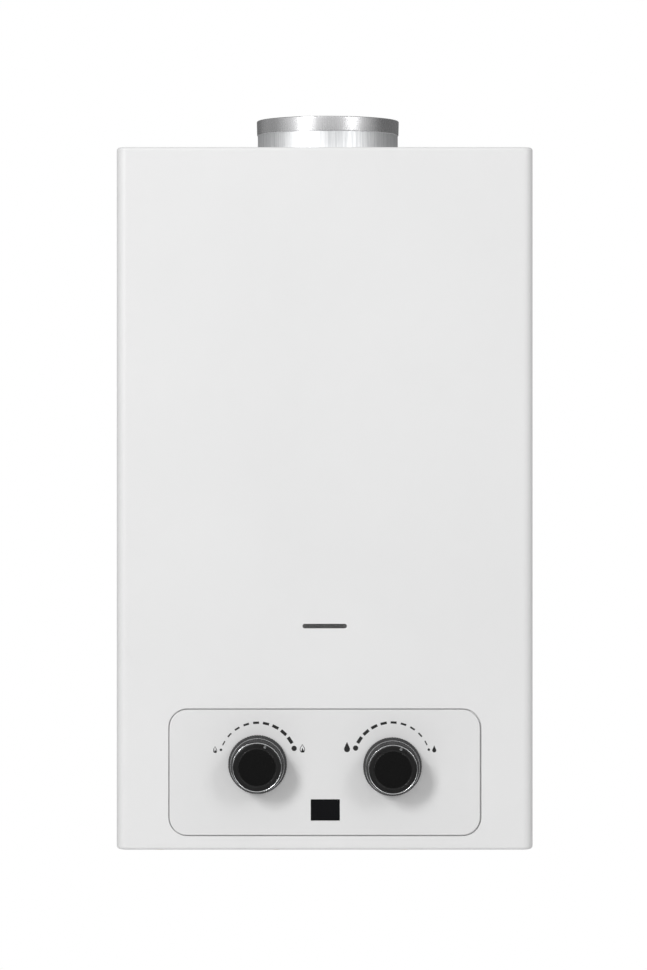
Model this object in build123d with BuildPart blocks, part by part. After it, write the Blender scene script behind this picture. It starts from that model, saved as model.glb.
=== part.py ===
"""Wall-hung tankless gas water heater with a natural-draught flue collar.

Frame: X to the right, -Y towards the room, +Z up. The wall plane is Y = 0 and the origin is the centre
of the four wall screw holes in the back plate. All sizes are in millimetres.
Heights whose names end in _height_from_base are measured up from the casing's lower edge.
"""

import os
from math import cos, radians, sin

from build123d import *

os.makedirs("parts", exist_ok=True)

# Casing
cover_width = 312.0
cover_height = 526.0
casing_depth = 165.0
cover_sheet = 0.8
side_bend_radius = 8.0
edge_bend_radius = 2.5
rear_gap = 1.2
cover_fit = 0.3
cut_overrun = 1.0
cover_bottom = -cover_height / 2
cover_top = cover_height / 2
cover_inside_front = casing_depth - cover_sheet

# Clearances shared by the assembly
slip_clearance = 0.05
running_clearance = 0.06
sheet_clearance = 0.3

# Back plate
plate_sheet = 1.0
plate_flange_depth = 14.0
plate_corner_radius = 3.0
plate_width = cover_width - 2 * cover_sheet - 2 * cover_fit
plate_height = cover_height - 2 * cover_sheet - 2 * cover_fit
wall_hole_radius = 3.5
wall_hole_spacing_x = 180.0
wall_hole_spacing_z = 440.0
keyhole_head_radius = 7.0
keyhole_neck_radius = 3.2
keyhole_drop = 12.0
bead_length = 190.0
bead_width = 16.0
bead_rise = 3.0
bead_spacing = 300.0

# Bottom plate
bottom_sheet = 1.0
bottom_flange_height = 12.0
bottom_front_margin = 1.5
bottom_lip_front = 13.0
bottom_lip_side = 7.0
vent_slot_length = 22.0
vent_slot_width = 3.0
vent_slot_pitch = 7.0
vent_slot_count = 6

# Screws
screw_head_radius = 3.6
screw_head_height = 1.8
screw_shank_radius = 1.9
screw_shank_length = 6.0
screw_recess_width = 0.9
screw_recess_depth = 1.0
screw_hole_clearance = 0.15

# Room kept round the combustion chamber
rear_room = 25.0
front_room = 30.0
side_room = 51.0
chamber_width = cover_width - 2 * side_room
chamber_depth = casing_depth - rear_room - front_room
chamber_sheet = 0.8
chamber_corner = 10.0
core_y = -(rear_room + chamber_depth / 2)

# Heights above the casing's lower edge
burner_frame_bottom_from_base = 122.0
chamber_bottom_from_base = 186.0
chamber_height = 200.0
fin_bottom_from_base = 326.0
fin_height = 50.0
hood_top_below_cover = 22.0
burner_frame_bottom = cover_bottom + burner_frame_bottom_from_base
chamber_bottom = cover_bottom + chamber_bottom_from_base
chamber_top = chamber_bottom + chamber_height
fin_bottom = cover_bottom + fin_bottom_from_base
hood_top = cover_top - hood_top_below_cover


def write_piece(piece, name):
    """Labels a finished piece and writes its file."""
    piece.part.label = name
    export_step(piece.part, f"parts/{name}.step")


def add_screws(plane, spots, shank_length=screw_shank_length):
    """Adds pan-head cross-recess screws whose heads stand on the plane and whose shanks go through it."""
    with BuildSketch(plane) as heads:
        with Locations(*spots):
            Circle(screw_head_radius)
    extrude(heads.sketch, amount=screw_head_height)
    with BuildSketch(plane.offset(screw_head_height)) as recesses:
        with Locations(*spots):
            Rectangle(screw_head_radius, screw_recess_width)
            Rectangle(screw_recess_width, screw_head_radius)
    extrude(recesses.sketch, amount=-screw_recess_depth, mode=Mode.SUBTRACT)
    with BuildSketch(plane) as shanks:
        with Locations(*spots):
            Circle(screw_shank_radius)
    extrude(shanks.sketch, amount=-shank_length)


def cut_holes(plane, spots, radius, depth):
    """Cuts round holes from the plane, depth deep on each side of it."""
    with BuildSketch(plane) as holes:
        with Locations(*spots):
            Circle(radius)
    extrude(holes.sketch, amount=depth, both=True, mode=Mode.SUBTRACT)


def add_box(low, high, mode=Mode.ADD):
    """Adds or cuts the box between two corners."""
    size = [b - a for a, b in zip(low, high)]
    middle = [(a + b) / 2 for a, b in zip(low, high)]
    with Locations(tuple(middle)):
        Box(*size, mode=mode)


# Turns and hexagons
full_turn = 360.0
hexagon_sides = 6

# Control panel opening, sight slot and flue notch in the cover
panel_width = 232.4
panel_height = 93.8
panel_corner = 13.4
panel_gap = 0.9
opening_shift_x = 0.17
opening_shift_z = 0.2
panel_centre_height_from_base = 58.0
panel_z = cover_bottom + panel_centre_height_from_base
slot_length = 33.2
slot_height = 3.4
slot_centre_height_from_base = 167.55
slot_z = cover_bottom + slot_centre_height_from_base
collar_radius = 55.0
collar_neck_step = 0.8
collar_neck_radius = collar_radius - collar_neck_step
collar_offset_x = 2.4
notch_clearance = 1.6

# Screws that hold the cover
cover_side_screw_spread = 400.0
cover_side_screw_y = -(rear_gap + plate_flange_depth / 2)
cover_side_screws = [
    (cover_side_screw_y, -cover_side_screw_spread / 2),
    (cover_side_screw_y, cover_side_screw_spread / 2),
]
screw_clearance_radius = screw_shank_radius + screw_hole_clearance
screw_thread_hole_radius = screw_shank_radius + slip_clearance

# Welded studs that hold the control panel
panel_side_flange = 8.5
panel_stud_radius = 1.5
panel_stud_spread_z = 60.0
panel_stud_x = panel_width / 2 + panel_side_flange / 2
panel_studs = [
    (x, panel_z + z)
    for x in (-panel_stud_x, panel_stud_x)
    for z in (-panel_stud_spread_z / 2, panel_stud_spread_z / 2)
]

# Front cover: one folded sheet, open at the back
with BuildPart() as front_cover:
    with BuildSketch(Plane.XY.offset(cover_bottom)) as cover_outline:
        with Locations((0, -(casing_depth + rear_gap) / 2)):
            Rectangle(cover_width, casing_depth - rear_gap)
        fillet(cover_outline.vertices().group_by(Axis.Y)[0], side_bend_radius)
    extrude(amount=cover_height)
    rim_edges = front_cover.faces().sort_by(Axis.Z)[-1].edges().sort_by(Axis.Y)[:-1]
    rim_edges += front_cover.faces().sort_by(Axis.Z)[0].edges().sort_by(Axis.Y)[:-1]
    fillet(rim_edges, edge_bend_radius)
    offset(amount=-cover_sheet, openings=front_cover.faces().sort_by(Axis.Y)[-1])
    with BuildSketch(Plane.XZ.offset(casing_depth)):
        with Locations((opening_shift_x, panel_z + opening_shift_z)):
            RectangleRounded(
                panel_width + 2 * panel_gap,
                panel_height + 2 * panel_gap,
                panel_corner + panel_gap,
            )
        with Locations((0, slot_z)):
            SlotOverall(slot_length, slot_height)
    extrude(amount=cover_sheet + cut_overrun, both=True, mode=Mode.SUBTRACT)
    with BuildSketch(Plane.XY.offset(cover_top)):
        with Locations((collar_offset_x, core_y)):
            Circle(collar_neck_radius + notch_clearance)
        with Locations((collar_offset_x, core_y / 2)):
            Rectangle(2 * (collar_neck_radius + notch_clearance), -core_y)
    extrude(amount=cover_sheet + cut_overrun, both=True, mode=Mode.SUBTRACT)
    with BuildSketch(Plane.XY.offset(cover_bottom)):
        with Locations((0, -(casing_depth - bottom_lip_front) / 2)):
            Rectangle(cover_width - 2 * bottom_lip_side, casing_depth - bottom_lip_front)
    extrude(amount=cover_sheet + cut_overrun, both=True, mode=Mode.SUBTRACT)
    for side in (-cover_width / 2, cover_width / 2):
        cut_holes(
            Plane.YZ.offset(side), cover_side_screws, screw_clearance_radius, cover_sheet + cut_overrun
        )
write_piece(front_cover, "front_cover")


def from_base(height):
    """Height above the casing's lower edge, as a Z value."""
    return cover_bottom + height


def add_cylinder(plane, radius, length, mode=Mode.ADD):
    """Adds or cuts a round bar that starts on the plane and runs along its normal."""
    with BuildSketch(plane) as disc:
        Circle(radius)
    extrude(disc.sketch, amount=length, mode=mode)


def along_x(x, y, z):
    """Plane whose normal is +X at the point."""
    return Plane(origin=(x, y, z), x_dir=(0, 1, 0), z_dir=(1, 0, 0))


def along_y(x, y, z):
    """Plane whose normal is +Y at the point."""
    return Plane(origin=(x, y, z), x_dir=(-1, 0, 0), z_dir=(0, 1, 0))


def facing_room(x, y, z):
    """Plane whose normal is -Y at the point, with X to the right and Z up."""
    return Plane(origin=(x, y, z), x_dir=(1, 0, 0), z_dir=(0, -1, 0))


def along_z(x, y, z):
    """Plane whose normal is +Z at the point."""
    return Plane(origin=(x, y, z), x_dir=(1, 0, 0), z_dir=(0, 0, 1))


def add_hexagon(plane, across_flats, length, mode=Mode.ADD):
    """Adds or cuts a hexagonal bar that starts on the plane."""
    with BuildSketch(plane) as hexagon:
        RegularPolygon(across_flats / 2, hexagon_sides, major_radius=False)
    extrude(hexagon.sketch, amount=length, mode=mode)


def sweep_tube(points, radii, outer_radius, bore_radius=0):
    """Sweeps a round tube along straight runs joined by tangent arcs."""
    with BuildLine(mode=Mode.PRIVATE) as route:
        FilletPolyline(*points, radius=radii)
    start = Plane(origin=route.wire() @ 0, z_dir=route.wire() % 0)
    with BuildSketch(start, mode=Mode.PRIVATE) as section:
        Circle(outer_radius)
        if bore_radius:
            Circle(bore_radius, mode=Mode.SUBTRACT)
    sweep(section.sketch, path=route.wire())


# Pipe fittings through the bottom plate
valve_axis_y = -60.0
gas_inlet_x = -38.0
cold_inlet_x = 62.0
hot_outlet_wall_room = 28.0
hot_outlet_x = -(cover_width / 2 - hot_outlet_wall_room)
thread_major_radius = 10.48
thread_length = 13.0
thread_top_from_base = -1.0
fitting_neck_radius = 9.6
fitting_hex_across = 27.0
fitting_hex_height = 8.0
fitting_hole_clearance = 0.5
fitting_hole_radius = thread_major_radius + fitting_hole_clearance
plate_bottom_from_base = 1.2
plate_top = from_base(plate_bottom_from_base + bottom_sheet)
fitting_spots = [(gas_inlet_x, valve_axis_y), (cold_inlet_x, valve_axis_y), (hot_outlet_x, valve_axis_y)]

# Battery box, its door and their place in the bottom plate
battery_wall_room = 35.0
battery_x = cover_width / 2 - battery_wall_room
cell_radius = 16.5
cell_length = 60.0
cell_nub_radius = 4.8
cell_nub_length = 1.5
cell_gap = 0.3
cell_count = 2
box_wall = 1.6
cell_axis_from_base = 20.0
battery_rear_y = -16.0
contact_room = 4.0
box_inner_half_width = cell_radius + cell_gap
box_inner_length = cell_count * cell_length + 2 * contact_room
box_front_y = battery_rear_y - box_inner_length - 2 * box_wall
box_top_from_base = cell_axis_from_base + cell_radius + cell_gap + box_wall
door_overlap = 2.0
door_thickness = 2.1
door_top_gap = 0.3
door_hinge_radius = 1.8
door_pin_radius = 1.0
door_hinge_inset = 4.2
door_lug_length = 4.0
door_lug_inset = 6.0
door_lug_half_width = 1.8
door_hinge_x = battery_x + box_inner_half_width + door_hinge_inset
door_hinge_z = from_base(plate_bottom_from_base - door_top_gap - door_hinge_radius)
door_lug_front_y = box_front_y + door_lug_inset
door_lug_rear_y = battery_rear_y - door_lug_inset - door_lug_length

# Drain plug
drain_x = 36.0
drain_boss_radius = 8.0
drain_hole_radius = drain_boss_radius + fitting_hole_clearance

# Back plate: flanged sheet with two pressed beads, a hanging keyhole and four screw holes
with BuildPart() as back_plate:
    with BuildSketch(Plane.XZ) as plate_outline:
        RectangleRounded(plate_width, plate_height, plate_corner_radius)
    extrude(plate_outline.sketch, amount=plate_flange_depth)
    with BuildSketch(Plane.XZ.offset(plate_sheet)) as tray_outline:
        RectangleRounded(
            plate_width - 2 * plate_sheet, plate_height - 2 * plate_sheet, plate_corner_radius - plate_sheet
        )
    extrude(tray_outline.sketch, amount=plate_flange_depth, mode=Mode.SUBTRACT)
    add_box(
        (-plate_width / 2, -plate_flange_depth - cut_overrun, -plate_height / 2 - cut_overrun),
        (plate_width / 2, -plate_sheet, -plate_height / 2 + plate_flange_depth),
        Mode.SUBTRACT,
    )
    for bead_z in (-bead_spacing / 2, bead_spacing / 2):
        with BuildSketch(facing_room(0, 0, bead_z)) as bead_outer:
            SlotOverall(bead_length, bead_width)
        extrude(bead_outer.sketch, amount=bead_rise + plate_sheet)
        with BuildSketch(facing_room(0, 0, bead_z)) as bead_inner:
            SlotOverall(bead_length - 2 * plate_sheet, bead_width - 2 * plate_sheet)
        extrude(bead_inner.sketch, amount=bead_rise, mode=Mode.SUBTRACT)
    wall_holes = [
        (x, z)
        for x in (-wall_hole_spacing_x / 2, wall_hole_spacing_x / 2)
        for z in (-wall_hole_spacing_z / 2, wall_hole_spacing_z / 2)
    ]
    cut_holes(Plane.XZ, wall_holes, wall_hole_radius, plate_sheet + cut_overrun)
    keyhole_z = plate_height / 2 - plate_flange_depth - keyhole_drop
    with BuildSketch(facing_room(0, 0, keyhole_z)) as keyhole:
        Circle(keyhole_head_radius)
        with Locations((0, keyhole_drop / 2)):
            Rectangle(2 * keyhole_neck_radius, keyhole_drop)
        with Locations((0, keyhole_drop)):
            Circle(keyhole_neck_radius)
    extrude(keyhole.sketch, amount=plate_sheet + cut_overrun, both=True, mode=Mode.SUBTRACT)
    for side in (-plate_width / 2, plate_width / 2):
        cut_holes(
            Plane.YZ.offset(side), cover_side_screws, screw_thread_hole_radius, plate_sheet + cut_overrun
        )
write_piece(back_plate, "back_plate")

# Bottom plate: tray with pipe holes, vent slots, the battery opening and its hinge lugs
tray_half_width = plate_width / 2 - plate_sheet - cover_fit
tray_front_y = -(cover_inside_front - bottom_front_margin)
tray_bottom = from_base(plate_bottom_from_base)
vent_rows_x = (-85.0, 12.0)
vent_centre_y = -118.0
with BuildPart() as bottom_plate:
    with BuildSketch(Plane.XY.offset(tray_bottom)) as tray_shape:
        with Locations((0, (tray_front_y - plate_sheet) / 2)):
            Rectangle(2 * tray_half_width, -plate_sheet - tray_front_y)
        fillet(tray_shape.vertices().group_by(Axis.Y)[0], side_bend_radius)
    extrude(tray_shape.sketch, amount=bottom_sheet)
    add_box(
        (-tray_half_width, -plate_sheet - bottom_sheet, tray_bottom),
        (tray_half_width, -plate_sheet, plate_top + bottom_flange_height),
    )
    for side in (-1, 1):
        edge = side * tray_half_width
        low_x, high_x = sorted((edge, edge - side * bottom_sheet))
        add_box(
            (low_x, tray_front_y + side_bend_radius, tray_bottom),
            (high_x, -plate_sheet, plate_top + bottom_flange_height),
        )
    cut_holes(Plane.XY.offset(tray_bottom), fitting_spots, fitting_hole_radius, bottom_sheet + cut_overrun)
    cut_holes(
        Plane.XY.offset(tray_bottom),
        [(drain_x, valve_axis_y)],
        drain_hole_radius,
        bottom_sheet + cut_overrun,
    )
    with BuildSketch(Plane.XY.offset(tray_bottom)) as vents:
        for row_x in vent_rows_x:
            with Locations((row_x, vent_centre_y)):
                with GridLocations(0, vent_slot_pitch, 1, vent_slot_count):
                    SlotOverall(vent_slot_length, vent_slot_width)
    extrude(vents.sketch, amount=bottom_sheet + cut_overrun, both=True, mode=Mode.SUBTRACT)
    add_box(
        (battery_x - box_inner_half_width, box_front_y + box_wall, tray_bottom - cut_overrun),
        (battery_x + box_inner_half_width, battery_rear_y - box_wall, plate_top + cut_overrun),
        Mode.SUBTRACT,
    )
    for lug_y in (door_lug_front_y, door_lug_rear_y):
        add_box(
            (door_hinge_x - door_lug_half_width, lug_y, door_hinge_z - door_lug_half_width),
            (door_hinge_x + door_lug_half_width, lug_y + door_lug_length, tray_bottom),
        )
        add_cylinder(
            along_y(door_hinge_x, lug_y - cut_overrun, door_hinge_z),
            door_pin_radius + running_clearance,
            door_lug_length + 2 * cut_overrun,
            Mode.SUBTRACT,
        )
write_piece(bottom_plate, "bottom_plate")

# Screws that hold the cover
with BuildPart() as cover_screws:
    add_screws(Plane.YZ.offset(cover_width / 2), cover_side_screws)
    add_screws(Plane.YZ.offset(-cover_width / 2).reverse(), [(y, -z) for y, z in cover_side_screws])
write_piece(cover_screws, "cover_screws")

# Control panel: inset plastic plate with a flange behind the cover sheet
panel_recess = 0.1
panel_step = 1.0
panel_flange_sheet = 1.5
panel_top_flange = 3.0
panel_groove_width = 2.0
panel_groove_depth = 0.9
panel_face_y = -(casing_depth - panel_recess)
panel_flange_front_y = panel_face_y + panel_step
panel_back_y = panel_flange_front_y + panel_flange_sheet
gas_knob_x = -50.2
gas_knob_from_base = 64.2
water_knob_x = 50.7
water_knob_from_base = 62.6
gas_knob_z = from_base(gas_knob_from_base)
water_knob_z = from_base(water_knob_from_base)
panel_stem_hole_radius = 5.5
window_x = 0.45
window_width = 21.6
window_height = 15.8
window_above_panel_edge = 18.9
window_z = panel_z - panel_height / 2 + window_above_panel_edge
board_boss_radius = 3.0
board_boss_length = 7.0
board_boss_spread = 40.0
panel_stud_clearance = 0.3
board_front_y = panel_back_y + board_boss_length
with BuildPart() as control_panel:
    with BuildSketch(facing_room(0, panel_flange_front_y, panel_z)) as panel_outline:
        RectangleRounded(panel_width, panel_height, panel_corner)
    extrude(panel_outline.sketch, amount=panel_step)
    with BuildSketch(facing_room(0, panel_back_y, panel_z)) as flange_outline:
        RectangleRounded(
            panel_width + 2 * panel_side_flange,
            panel_height + 2 * panel_top_flange,
            panel_corner,
        )
    extrude(flange_outline.sketch, amount=panel_flange_sheet)
    with BuildSketch(facing_room(0, panel_flange_front_y + panel_groove_depth, panel_z)) as edge_groove:
        RectangleRounded(
            panel_width + 2 * panel_groove_width,
            panel_height + 2 * panel_groove_width,
            panel_corner + panel_groove_width,
        )
        RectangleRounded(panel_width, panel_height, panel_corner, mode=Mode.SUBTRACT)
    extrude(edge_groove.sketch, amount=panel_groove_depth, mode=Mode.SUBTRACT)
    for boss_x in (-board_boss_spread / 2, board_boss_spread / 2):
        add_cylinder(along_y(boss_x, panel_back_y, window_z), board_boss_radius, board_boss_length)
        add_cylinder(
            along_y(boss_x, board_front_y, window_z).reverse(),
            screw_thread_hole_radius,
            screw_shank_length,
            Mode.SUBTRACT,
        )
    cut_holes(
        Plane.XZ.offset(-panel_back_y),
        panel_studs,
        panel_stud_radius + panel_stud_clearance,
        panel_step + panel_flange_sheet,
    )
    cut_holes(
        Plane.XZ.offset(-panel_back_y),
        [(gas_knob_x, gas_knob_z), (water_knob_x, water_knob_z)],
        panel_stem_hole_radius,
        panel_step + panel_flange_sheet + cut_overrun,
    )
    add_box(
        (
            window_x - window_width / 2 - slip_clearance,
            panel_face_y - cut_overrun,
            window_z - window_height / 2 - slip_clearance,
        ),
        (
            window_x + window_width / 2 + slip_clearance,
            panel_back_y + cut_overrun,
            window_z + window_height / 2 + slip_clearance,
        ),
        Mode.SUBTRACT,
    )
write_piece(control_panel, "control_panel")

# Nuts on the welded studs behind the panel
stud_nut_across = 5.5
stud_nut_height = 2.4
with BuildPart() as stud_nuts:
    for nut_x, nut_z in panel_studs:
        add_hexagon(along_y(nut_x, panel_back_y, nut_z), stud_nut_across, stud_nut_height)
        add_cylinder(
            along_y(nut_x, panel_back_y, nut_z),
            panel_stud_radius + slip_clearance,
            stud_nut_height,
            Mode.SUBTRACT,
        )
write_piece(stud_nuts, "stud_nuts")

# Smoked window over the temperature display
window_flange = 2.0
window_flange_sheet = 1.2
with BuildPart() as display_window:
    add_box(
        (window_x - window_width / 2, panel_face_y, window_z - window_height / 2),
        (window_x + window_width / 2, panel_back_y, window_z + window_height / 2),
    )
    add_box(
        (
            window_x - window_width / 2 - window_flange,
            panel_back_y,
            window_z - window_height / 2 - window_flange,
        ),
        (
            window_x + window_width / 2 + window_flange,
            panel_back_y + window_flange_sheet,
            window_z + window_height / 2 + window_flange,
        ),
    )
write_piece(display_window, "display_window")

# Circuit board with its two-digit display module
board_sheet = 1.6
board_margin = 4.5
board_height = 30.0
module_gap = 0.3
module_width = 20.0
module_height = 13.0
board_half_width = board_boss_spread / 2 + board_margin
with BuildPart() as display_board:
    add_box(
        (-board_half_width, board_front_y, window_z - board_height / 2),
        (board_half_width, board_front_y + board_sheet, window_z + board_height / 2),
    )
    add_box(
        (
            window_x - module_width / 2,
            panel_back_y + window_flange_sheet + module_gap,
            window_z - module_height / 2,
        ),
        (window_x + module_width / 2, board_front_y, window_z + module_height / 2),
    )
    cut_holes(
        Plane.XZ.offset(-board_front_y),
        [(-board_boss_spread / 2, window_z), (board_boss_spread / 2, window_z)],
        screw_clearance_radius,
        board_sheet + cut_overrun,
    )
write_piece(display_board, "display_board")

# Mesh and glass behind the flame sight slot
mesh_margin = 5.0
mesh_sheet = 0.4
mesh_hole_radius = 0.42
mesh_pitch = 1.15
mesh_rows = 3
mesh_columns = int((slot_length - slot_height) / mesh_pitch)
glass_sheet = 2.0
with BuildPart() as sight_mesh:
    add_box(
        (-slot_length / 2 - mesh_margin, -cover_inside_front, slot_z - slot_height / 2 - mesh_margin),
        (
            slot_length / 2 + mesh_margin,
            -cover_inside_front + mesh_sheet,
            slot_z + slot_height / 2 + mesh_margin,
        ),
    )
    with BuildSketch(facing_room(0, -cover_inside_front, slot_z)) as mesh_holes:
        with GridLocations(mesh_pitch, mesh_pitch, mesh_columns, mesh_rows):
            Circle(mesh_hole_radius)
    extrude(mesh_holes.sketch, amount=mesh_sheet + cut_overrun, both=True, mode=Mode.SUBTRACT)
write_piece(sight_mesh, "sight_mesh")

with BuildPart() as sight_glass:
    add_box(
        (
            -slot_length / 2 - mesh_margin,
            -cover_inside_front + mesh_sheet,
            slot_z - slot_height / 2 - mesh_margin,
        ),
        (
            slot_length / 2 + mesh_margin,
            -cover_inside_front + mesh_sheet + glass_sheet,
            slot_z + slot_height / 2 + mesh_margin,
        ),
    )
write_piece(sight_glass, "sight_glass")

# Knobs: ribbed black body, chrome ring and glossy cap with a pointer notch
knob_panel_gap = 1.0
knob_base_radius = 22.05
knob_waist_radius = 20.4
knob_waist_depth = 8.0
knob_step = 0.5
knob_front_radius = 18.9
knob_body_depth = 18.4
knob_ring_radius = 18.6
knob_ring_bore = 17.6
knob_ring_thickness = 1.9
knob_ring_round = 0.45
knob_cap_thickness = 2.2
knob_cap_groove_radius = 14.1
knob_cap_groove_width = 0.5
knob_cap_groove_depth = 0.3
knob_cap_round = 0.5
knob_rib_count = 72
knob_rib_radius = 0.45
knob_rib_bite = 0.25
knob_hub_radius = 8.0
knob_wall = 2.2
knob_cavity_depth = 14.0
knob_notch_angle = 21.0
knob_notch_width = 1.8
knob_notch_length = 2.2
knob_notch_depth = 0.6
stem_radius = 4.0
stem_flat = 3.0
stem_insertion = 12.0
knob_base_y = panel_face_y - knob_panel_gap
knob_face_y = panel_face_y - knob_body_depth


def taper_groove(start_radius, end_radius, length):
    """Groove cutter that follows a tapered side from one radius to another."""
    lean = (start_radius - end_radius) / length
    start = Vector(0, start_radius + knob_rib_bite, 0) - Vector(0, -lean, 1) * cut_overrun
    end = Vector(0, end_radius + knob_rib_bite, length) + Vector(0, -lean, 1) * cut_overrun
    with BuildPart(mode=Mode.PRIVATE) as cutter:
        with BuildSketch(Plane(origin=start, z_dir=end - start)) as round_groove:
            Circle(knob_rib_radius)
        extrude(round_groove.sketch, amount=(end - start).length)
    return cutter.part


skirt_groove = taper_groove(knob_base_radius, knob_waist_radius, knob_waist_depth - knob_panel_gap)
grip_groove = taper_groove(
    knob_waist_radius - knob_step, knob_front_radius, knob_body_depth - knob_waist_depth - knob_step
)


def make_knob_body(x, z):
    """Knob body on the panel in front of its stem, built outwards from its base."""
    with BuildPart() as knob:
        with BuildSketch(Plane.XZ, mode=Mode.PRIVATE) as profile:
            with BuildLine():
                Polyline(
                    (0, 0),
                    (knob_base_radius, 0),
                    (knob_waist_radius, knob_waist_depth - knob_panel_gap),
                    (knob_waist_radius - knob_step, knob_waist_depth - knob_panel_gap + knob_step),
                    (knob_front_radius, knob_body_depth - knob_panel_gap),
                    (0, knob_body_depth - knob_panel_gap),
                    close=True,
                )
            make_face()
        revolve(profile.sketch, axis=Axis.Z)
        with PolarLocations(0, knob_rib_count):
            add(skirt_groove, mode=Mode.SUBTRACT)
        with Locations((0, 0, knob_waist_depth - knob_panel_gap + knob_step)):
            with PolarLocations(0, knob_rib_count):
                add(grip_groove, mode=Mode.SUBTRACT)
        with BuildSketch() as cavity:
            Circle(knob_front_radius - knob_wall)
            Circle(knob_hub_radius, mode=Mode.SUBTRACT)
        extrude(cavity.sketch, amount=knob_cavity_depth, mode=Mode.SUBTRACT)
        with BuildSketch() as bore:
            Circle(stem_radius + slip_clearance)
            with Locations((0, stem_radius + stem_flat + slip_clearance)):
                Rectangle(2 * stem_radius + cut_overrun, 2 * stem_radius, mode=Mode.SUBTRACT)
        extrude(bore.sketch, amount=stem_insertion + slip_clearance, mode=Mode.SUBTRACT)
    knob.part = facing_room(x, knob_base_y, z).location * knob.part
    return knob


def make_knob_ring(x, z):
    """Chrome ring on the front edge of a knob."""
    with BuildPart() as ring:
        with BuildSketch() as ring_outline:
            Circle(knob_ring_radius)
            Circle(knob_ring_bore, mode=Mode.SUBTRACT)
        extrude(ring_outline.sketch, amount=knob_ring_thickness)
        fillet(ring.edges().group_by(Axis.Z)[-1], knob_ring_round)
    ring.part = facing_room(x, knob_face_y, z).location * ring.part
    return ring


def make_knob_cap(x, z):
    """Glossy cap inside the ring, with a round groove and a pointer notch."""
    with BuildPart() as cap:
        with BuildSketch() as cap_outline:
            Circle(knob_ring_bore - slip_clearance)
        extrude(cap_outline.sketch, amount=knob_cap_thickness)
        fillet(cap.edges().group_by(Axis.Z)[-1], knob_cap_round)
        with BuildSketch() as groove:
            Circle(knob_cap_groove_radius)
            Circle(knob_cap_groove_radius - knob_cap_groove_width, mode=Mode.SUBTRACT)
        with Locations((0, 0, knob_cap_thickness - knob_cap_groove_depth)):
            add(extrude(groove.sketch, amount=cut_overrun, mode=Mode.PRIVATE), mode=Mode.SUBTRACT)
        notch_radius = knob_ring_bore - knob_notch_length / 2
        with Locations((0, 0, knob_cap_thickness)):
            with Locations(Rotation(0, 0, -knob_notch_angle)):
                with Locations((0, notch_radius, 0)):
                    Box(knob_notch_width, knob_notch_length, 2 * knob_notch_depth, mode=Mode.SUBTRACT)
    cap.part = facing_room(x, knob_face_y, z).location * cap.part
    return cap


gas_knob_body = make_knob_body(gas_knob_x, gas_knob_z)
write_piece(gas_knob_body, "gas_knob_body")
gas_knob_ring = make_knob_ring(gas_knob_x, gas_knob_z)
write_piece(gas_knob_ring, "gas_knob_ring")
gas_knob_cap = make_knob_cap(gas_knob_x, gas_knob_z)
write_piece(gas_knob_cap, "gas_knob_cap")
water_knob_body = make_knob_body(water_knob_x, water_knob_z)
write_piece(water_knob_body, "water_knob_body")
water_knob_ring = make_knob_ring(water_knob_x, water_knob_z)
write_piece(water_knob_ring, "water_knob_ring")
water_knob_cap = make_knob_cap(water_knob_x, water_knob_z)
write_piece(water_knob_cap, "water_knob_cap")

# Stems with their regulating plugs
valve_front_y = -98.0
plug_radius = 8.94
plug_bore_radius = plug_radius + running_clearance
plug_length = 16.0
plug_front_gap = 1.0
plug_port_width = 5.0
stem_end_y = knob_base_y - stem_insertion


def make_stem(x, z):
    """D-ended stem with a slotted regulating plug at its inner end."""
    plug_front_y = valve_front_y + plug_front_gap
    with BuildPart() as stem:
        add_cylinder(along_y(x, stem_end_y, z), stem_radius, plug_front_y - stem_end_y)
        add_cylinder(along_y(x, plug_front_y, z), plug_radius, plug_length)
        add_box(
            (x - stem_radius, stem_end_y - cut_overrun, z + stem_flat),
            (x + stem_radius, knob_base_y + stem_insertion / 2, z + 2 * stem_radius),
            Mode.SUBTRACT,
        )
        add_box(
            (x - plug_port_width / 2, plug_front_y + plug_length / 2, z - 2 * plug_radius),
            (x + plug_port_width / 2, plug_front_y + plug_length + cut_overrun, z),
            Mode.SUBTRACT,
        )
    return stem


gas_stem = make_stem(gas_knob_x, gas_knob_z)
write_piece(gas_stem, "gas_stem")
water_stem = make_stem(water_knob_x, water_knob_z)
write_piece(water_stem, "water_stem")

# Nuts that hold the stems in the valves
stem_nut_across = 24.0
stem_nut_height = 6.0
with BuildPart() as stem_nuts:
    for nut_x, nut_z in ((gas_knob_x, gas_knob_z), (water_knob_x, water_knob_z)):
        add_hexagon(facing_room(nut_x, valve_front_y, nut_z), stem_nut_across, stem_nut_height)
        add_cylinder(
            facing_room(nut_x, valve_front_y, nut_z),
            stem_radius + running_clearance,
            stem_nut_height,
            Mode.SUBTRACT,
        )
write_piece(stem_nuts, "stem_nuts")

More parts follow.
